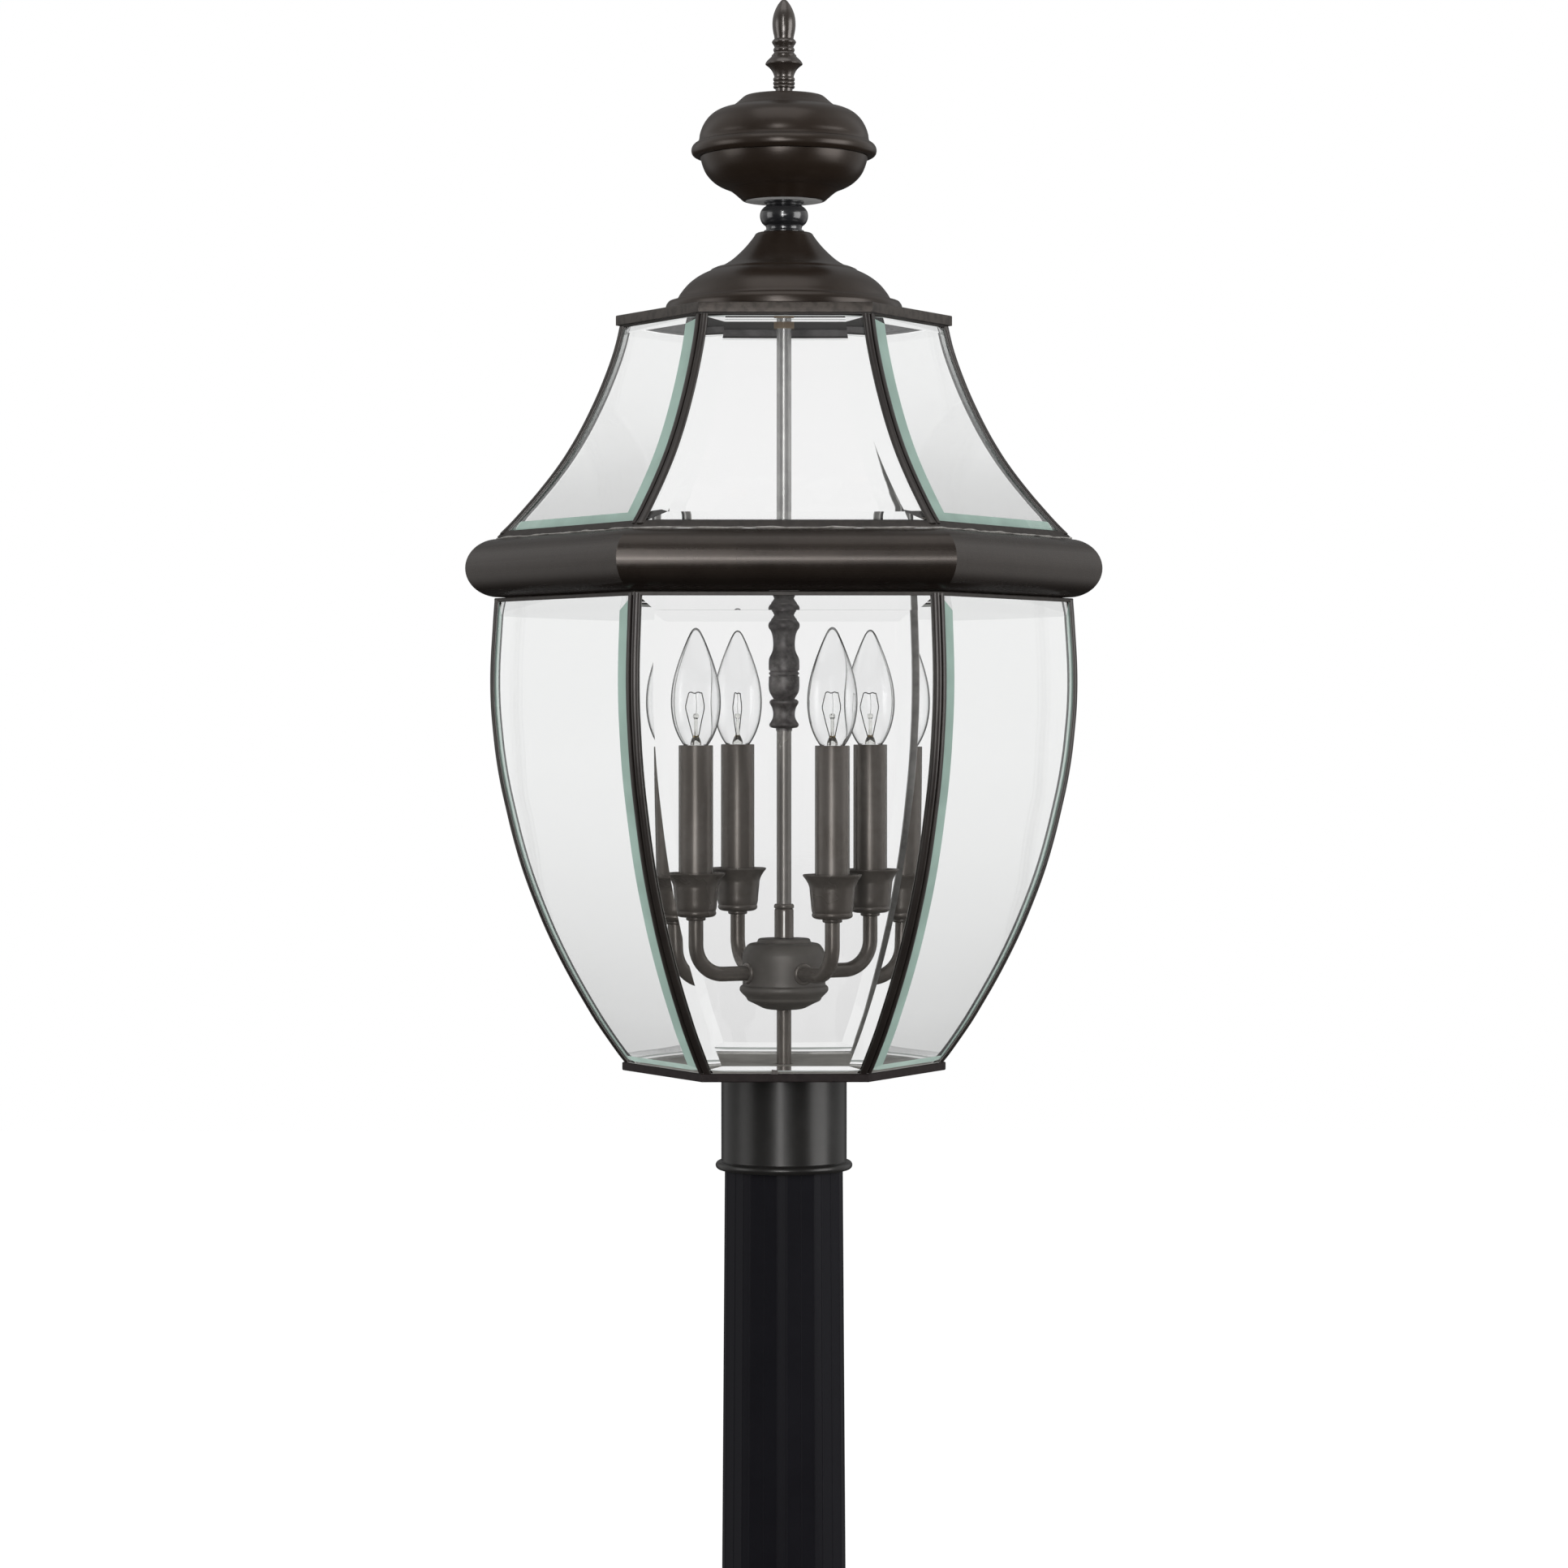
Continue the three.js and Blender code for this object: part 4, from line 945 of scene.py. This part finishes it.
# narrow upright strip of lighter metal on the front of the coupling: a seam that also serves as
# a painted highlight
SEAM_AND_HIGHLIGHT = [(x, y, z) for z in (422.0, 438.6)
        for x, y in ((-0.55, -6.02), (0.55, -6.02), (0.45, -6.22), (-0.45, -6.22))]
make("rod_coupling_sleeve", join(lathe(spline(COUPLING, 3), 64), (SEAM_AND_HIGHLIGHT, BOX_FACES, 1)),
     "lantern", "rod_coupling", [CLUSTER, STEEL])

HUB_OUTSIDE = [
    (5.0, 376.9, 1), (5.2, 376.2), (6.2, 376.0, 1), (11.6, 376.4), (13.6, 377.0, 1),
    (17.6, 379.0), (20.6, 380.4), (22.8, 381.4, 1), (23.6, 382.3), (24.0, 383.4, 1),
    (27.6, 387.0, 1), (28.2, 388.0), (28.3, 389.3), (28.0, 390.4), (27.1, 391.2, 1),
    (26.5, 391.6, 1), (26.4, 392.4, 1), (26.5, 400.0), (26.5, 410.8, 1), (26.1, 412.0),
    (23.8, 416.2), (23.0, 417.1, 1), (22.0, 417.7), (19.8, 418.2, 1), (17.4, 418.5, 1),
    (16.9, 419.4), (16.4, 420.6), (15.7, 421.0, 1), (3.4, 421.1, 1)]
HUB_INSIDE = [(3.4, 418.4), (15.0, 416.6), (21.8, 414.0), (24.3, 410.4), (24.3, 388.4),
              (17.6, 381.8), (5.0, 379.2)]
make("cluster_hub", lathe(spline(HUB_OUTSIDE, 3) + HUB_INSIDE, 112), "lantern", "hub",
     [HUB], angle=28)

NIPPLE = [(PIPE_BORE, 324.0), (4.3, 324.0), (ROD_RADIUS, 324.4), (ROD_RADIUS, 386.0),
          (PIPE_BORE, 386.0)]
make("lower_pipe_nipple", lathe(NIPPLE, 48), "lantern", "lower_pipe", [CLUSTER])

CABLE_START, CABLE_LENGTH, CABLE_STEPS = 2.0, 394.0, 24
cable = [(0, 0, CABLE_START + CABLE_LENGTH * i / CABLE_STEPS) for i in range(CABLE_STEPS + 1)]
make("supply_flex", tube(cable, radius=2.6, segments=24), "lantern", "supply_cable",
     [SHEATH])

# =====================================================================
# arms, cups, candles, lamps; profiles as above
# =====================================================================
BEND = 19.0            # radius of the arm's bend
BEND_START = LAMP_RADIUS - BEND
ARM_RADIUS = 4.7
ESCUTCHEON_X = 25.0    # where the small disc round the arm starts
DISC_BORE = 4.2
GLASS_WALL = 0.72
BULB_TOP = 617.9


def arm_shape():
    """Arm along +X, bent upward under the lamp, with a small disc at the hub."""
    path = [(x, 0, HUB_Z) for x in (23.2, 28.0, 35.0, BEND_START)]
    for i in range(1, 17):
        a = math.pi / 2 * i / 16
        path.append((BEND_START + BEND * math.sin(a), 0, HUB_Z + BEND * (1 - math.cos(a))))
    path += [(LAMP_RADIUS, 0, 426.0), (LAMP_RADIUS, 0, 434.0)]
    # disc: (radius, distance along the arm)
    disc = [(DISC_BORE, 0.0, 1), (6.9, 0.0, 1), (6.9, 1.4), (6.5, 2.2), (5.6, 2.7),
            (4.9, 2.7, 1), (DISC_BORE, 2.7, 1)]
    verts, faces = lathe(spline(disc, 3), 48)
    escutcheon = [(ESCUTCHEON_X + z, x, HUB_Z + y) for x, y, z in verts], faces
    return join(tube(path, ARM_RADIUS, 32), escutcheon)[:2]


def bulb_shape():
    """Torpedo bulb with a glass wall of even thickness, open at the neck."""
    outside = [(max(radius, 0), z) for radius, z in spline(BULB_PROFILE, 3)]
    inside = []
    last = len(outside) - 1
    for i, (radius, z) in enumerate(outside):
        before, after = outside[max(i - 1, 0)], outside[min(i + 1, last)]
        dr, dz = after[0] - before[0], after[1] - before[1]
        length = math.hypot(dr, dz)
        inside.append((max(radius - dz / length * GLASS_WALL, 0.0),
                       z + dr / length * GLASS_WALL))
    inside[0] = (5.85, 541.0)
    inside[-1] = (0.0, BULB_TOP - GLASS_WALL)
    return lathe(outside + inside[::-1], 80)


def base_shape():
    """Screw base with nine turns of thread, drawn as plain ridges."""
    threads = []
    for i in range(9):
        z = 518.6 + 2.2 * i
        threads += [(5.95, z), (5.5, z + 1.1)]
    return lathe([(0, 514.6), (2.2, 514.6), (2.6, 515.0), (2.8, 516.0), (5.2, 517.6), *threads,
                  (5.9, 537.4), (5.9, 539.4), (5.3, 540.6), (5.3, 543.4), (0, 543.4)], 56)


def filament_shape():
    """Two lead wires, the filament across their tops and the thin hook that holds it."""
    left = [(-1.1, 0, 547.0), (-2.2, 0, 551.0), (-4.2, 0.2, 558.0), (-6.4, 0.3, 566.6),
            (-6.6, 0.2, 568.6), (-5.6, 0.1, 573.0), (-4.6, 0, 576.6), (-4.3, 0, 577.2)]
    right = [(1.1, 0, 547.0), (2.0, 0, 551.0), (3.4, -0.2, 558.0), (5.3, -0.3, 566.8),
             (5.4, -0.2, 569.0), (4.6, -0.1, 573.4), (3.9, 0, 576.6), (3.7, 0, 577.2)]
    filament = [(-4.3 + 8.0 * s / 12, 0.25 * math.sin(s * 1.4),
                 577.1 + (0.35 * math.sin(s * 0.9) if 0 < s < 12 else 0)) for s in range(13)]
    hook = [(0.2, 0, 563.6), (0.5, 0.3, 568.0), (0.4, 0.1, 572.4), (-0.1, 0, 577.0)]
    return join(tube(left, 0.31, 8), tube(right, 0.31, 8), tube(filament, 0.33, 8, (0, 0, 1)),
                tube(hook, 0.12, 6))[:2]


CUP = [
    (4.2, 434.0, 1), (5.8, 434.0), (6.2, 434.6), (6.2, 435.6, 1), (6.8, 435.9, 1),
    (10.2, 436.2), (12.0, 437.0), (12.8, 438.2), (12.75, 439.2), (12.45, 439.9, 1),
    (12.9, 441.2), (13.4, 446.0), (13.9, 451.0), (14.15, 453.6), (14.3, 455.4), (14.9, 457.4),
    (15.9, 459.4), (17.2, 461.4), (18.3, 462.8), (18.5, 463.6), (18.1, 463.9, 1),
    (16.6, 462.0), (14.6, 458.6), (13.4, 455.4), (12.7, 447.0), (12.0, 440.6, 1),
    (11.4, 439.0), (4.2, 438.6, 1)]
SLEEVE = [(9.7, 440.2), (10.8, 440.2), (10.85, 441.0), (10.85, 543.7), (10.7, 544.0),
          (10.4, 544.1), (9.9, 544.1), (9.7, 543.8)]
SOCKET = [(2.6, 502.0), (7.2, 502.0), (7.8, 502.6), (9.1, 508.0), (9.1, 541.2), (8.7, 541.6),
          (7.4, 541.6), (7.1, 541.2), (7.1, 513.0), (2.6, 513.0)]
BULB_PROFILE = [
    (6.4, 541.0), (6.9, 542.4), (7.35, 543.6), (8.1, 544.6), (9.3, 546.4), (10.7, 548.9),
    (12.1, 551.9), (13.4, 555.4), (14.3, 558.6), (15.1, 562.8), (15.6, 567.2), (15.75, 571.2),
    (15.55, 576.2), (15.0, 581.0), (14.0, 586.2), (12.6, 591.4), (10.9, 596.8), (9.1, 601.8),
    (7.2, 606.6), (5.6, 610.4), (4.2, 613.4), (3.0, 615.6), (1.7, 617.2), (0.7, 617.8),
    (0.0, BULB_TOP)]
# glass stem with its flare and button
STEM_PROFILE = [
    (0, 543.6), (3.4, 543.6, 1), (3.3, 546.0), (2.5, 548.4), (1.5, 550.2), (1.2, 552.0),
    (1.15, 558.0), (1.2, 560.8), (1.7, 561.8), (1.8, 562.8), (1.4, 563.8), (0, 564.0)]
FILAMENT_TURNS = (12, 64, -8, 20)    # degrees, one per lamp

arm, bulb, base, filament = arm_shape(), bulb_shape(), base_shape(), filament_shape()
cup, sleeve, socket = lathe(spline(CUP, 3), 80), lathe(SLEEVE, 80), lathe(SOCKET, 56)
stem = lathe([(max(radius, 0), z) for radius, z in spline(STEM_PROFILE, 3)], 32)
bulbs = []
for k, (azimuth, turn) in enumerate(zip(LAMP_AZIMUTHS, FILAMENT_TURNS), 1):
    lamp_x = LAMP_RADIUS * math.cos(math.radians(azimuth))
    lamp_y = LAMP_RADIUS * math.sin(math.radians(azimuth))

    def at_lamp(shape):
        return [(x + lamp_x, y + lamp_y, z) for x, y, z in shape[0]], shape[1]

    make(f"bent_arm_{k}", turned(arm, azimuth), "lantern", f"arm_{k}",
         [CLUSTER])
    make(f"flared_cup_{k}", at_lamp(cup), "lantern", f"cup_{k}", [CUPS],
         angle=28)
    make(f"candle_tube_{k}", at_lamp(sleeve), "lantern", f"candle_sleeve_{k}",
         [CLUSTER])
    make(f"lampholder_{k}", at_lamp(socket), "lantern", f"socket_{k}", [HOLDER])
    bulbs.append(make(f"torpedo_bulb_{k}", at_lamp(bulb), f"bulb_{k}", f"bulb_glass_{k}",
                      [BULB], angle=40))
    make(f"screw_base_{k}", at_lamp(base), f"bulb_{k}", f"bulb_base_{k}", [BRASS],
         angle=45)
    make(f"glass_stem_{k}", at_lamp(stem), f"bulb_{k}", None, [STEM], angle=40)
    make(f"filament_frame_{k}", at_lamp(turned(filament, turn)), f"bulb_{k}", None,
         [WIRE], angle=50)


# =====================================================================
# studio: floor, world, lights, camera (metres)
# =====================================================================
def build_floor():
    """White to the camera, dim grey to everything it lights."""
    half, z = 3, -0.0004
    mesh = bpy.data.meshes.new("floor")
    mesh.from_pydata([(-half, -half, z), (half, -half, z), (half, half, z), (-half, half, z)],
                     [], [[0, 1, 2, 3]])
    floor = bpy.data.objects.new("floor", mesh)
    SCENE_OBJECTS.link(floor)
    material, shader = new_material("studio_floor")
    strength = shader.math("MULTIPLY", shader.seen_direct(), 1.0)
    glow = shader.add("Emission", {"Color": (1, 1, 1), "Strength": strength})
    grey = shader.add("BsdfDiffuse", {"Color": (0.10, 0.10, 0.10)})
    both = shader.add("AddShader", {0: glow, 1: grey})
    shader.feed(shader.out.inputs["Surface"], both)
    mesh.materials.append(material)
    floor.visible_glossy = False
    floor.visible_transmission = False


def build_world():
    """White backdrop to the camera; to bounced light a soft room with a dim floor, brighter
    overhead, and pale walls far left and right."""
    world = bpy.data.worlds.new("studio")
    bpy.context.scene.world = world
    world.use_nodes = True
    shader = Shader(world.node_tree, "OutputWorld")
    seen = shader.seen_direct()
    direction = shader.add("SeparateXYZ", {0: shader.add("TexCoord").outputs["Generated"]})
    x, y, z = (direction.outputs[axis] for axis in "XYZ")
    horizon = shader.ramp(z, -0.10, 0.14, 0.035, 0.20)
    overhead = shader.ramp(z, 0.25, 1.0, 0.0, 0.34)
    sideways = shader.ramp(shader.math("ABSOLUTE", x), 0.42, 0.72, 0.0, 0.55)
    walls = shader.math("MULTIPLY", sideways, shader.ramp(y, -0.50, -0.10, 0.0, 1.0))
    walls = shader.math("MULTIPLY", walls, shader.ramp(z, -0.60, -0.20, 0.0, 1.0))
    room = shader.math("ADD", shader.math("ADD", horizon, overhead), walls)
    # seen through glass the backdrop falls off a little towards the floor
    depth = shader.add("LightPath").outputs["Transmission Depth"]
    through = shader.math("MINIMUM", depth, 1.0)
    fall = shader.add("MapRange", {"From Min": -0.085, "From Max": -0.012,
                                   "To Min": 0.16, "To Max": 0.0, "Value": z})
    loss = shader.math("MULTIPLY", through, fall.outputs["Result"])
    backdrop = shader.math("SUBTRACT", 1.0, loss)
    unseen = shader.math("SUBTRACT", 1.0, seen)
    strength = shader.math("ADD", shader.math("MULTIPLY", seen, backdrop),
                           shader.math("MULTIPLY", unseen, room))
    sky = shader.add("Background", {"Color": (1, 1, 1), "Strength": strength})
    shader.feed(shader.out.inputs["Surface"], sky)


def linked_collection(name, objects):
    collection = bpy.data.collections.new(name)
    for ob in objects:
        collection.objects.link(ob)
    return collection


def softbox(name, azimuth, elevation, distance, width, height, power, receivers):
    """Area light aimed at LIGHT_TARGET; azimuth runs from the camera's side, + to the right."""
    a, e = math.radians(azimuth), math.radians(elevation)
    toward = Vector((math.sin(a) * math.cos(e), -math.cos(a) * math.cos(e), math.sin(e)))
    position = toward * distance + LIGHT_TARGET
    light = bpy.data.lights.new(name, "AREA")
    light.shape = "RECTANGLE"
    light.size, light.size_y = width, height
    light.energy = power
    ob = bpy.data.objects.new(name, light)
    SCENE_OBJECTS.link(ob)
    ob.location = position
    ob.rotation_euler = (LIGHT_TARGET - position).to_track_quat("-Z", "Y").to_euler()
    ob.visible_camera = False
    ob.visible_transmission = False
    ob.light_linking.receiver_collection = receivers


build_floor()
build_world()

# the panes mirror the room but not the softboxes
all_but_panes = linked_collection("panes_out_of_softboxes", panes)
for item in all_but_panes.collection_objects:
    item.light_linking.link_state = "EXCLUDE"
# two strips make the bright upright streaks on the bulbs and light nothing else
bulbs_only = linked_collection("bulbs_only", bulbs)

LIGHT_TARGET = Vector((0, 0, 0.62))
# name, azimuth, elevation, distance, width, height, watts, receivers
LIGHTS = (
    ("bulb_strip_left", -74, 2, 2.0, 0.34, 0.9, 70, bulbs_only),
    ("bulb_strip_right", 66, 4, 2.0, 0.50, 0.8, 80, bulbs_only),
    ("front", -2, 1.2, 2.5, 0.9, 0.37, 16, all_but_panes),
    ("strip_left", -8, 8, 2.5, 0.13, 2.3, 33, all_but_panes),
    ("wide_left", -74, 6, 2.3, 1.15, 1.5, 16, all_but_panes),
    ("wide_right", 67, 4, 2.2, 1.4, 1.7, 41, all_but_panes),
    ("top", -10, 74, 2.4, 2.0, 1.6, 15, all_but_panes))
for light in LIGHTS:
    softbox(*light)

scene = bpy.context.scene
scene.view_settings.view_transform = "Standard"
scene.view_settings.look = "None"
scene.cycles.max_bounces = 28
scene.cycles.transmission_bounces = 24
scene.cycles.transparent_max_bounces = 24
scene.cycles.glossy_bounces = 8
scene.cycles.diffuse_bounces = 3
scene.cycles.caustics_reflective = False
scene.cycles.caustics_refractive = False

CAMERA_DISTANCE, CAMERA_HEIGHT = 2.690, 0.5651
CAMERA_YAW = math.radians(0.5)
CAMERA_PITCH = math.radians(90 - 0.98)
lens = bpy.data.cameras.new("camera")
lens.sensor_width = 36.0
lens.lens = 96.89441
lens.clip_start = 0.05
camera = bpy.data.objects.new("camera", lens)
SCENE_OBJECTS.link(camera)
camera.location = (-CAMERA_DISTANCE * math.sin(CAMERA_YAW),
                   -CAMERA_DISTANCE * math.cos(CAMERA_YAW), CAMERA_HEIGHT)
camera.rotation_euler = (CAMERA_PITCH, 0.0, -CAMERA_YAW)
scene.camera = camera
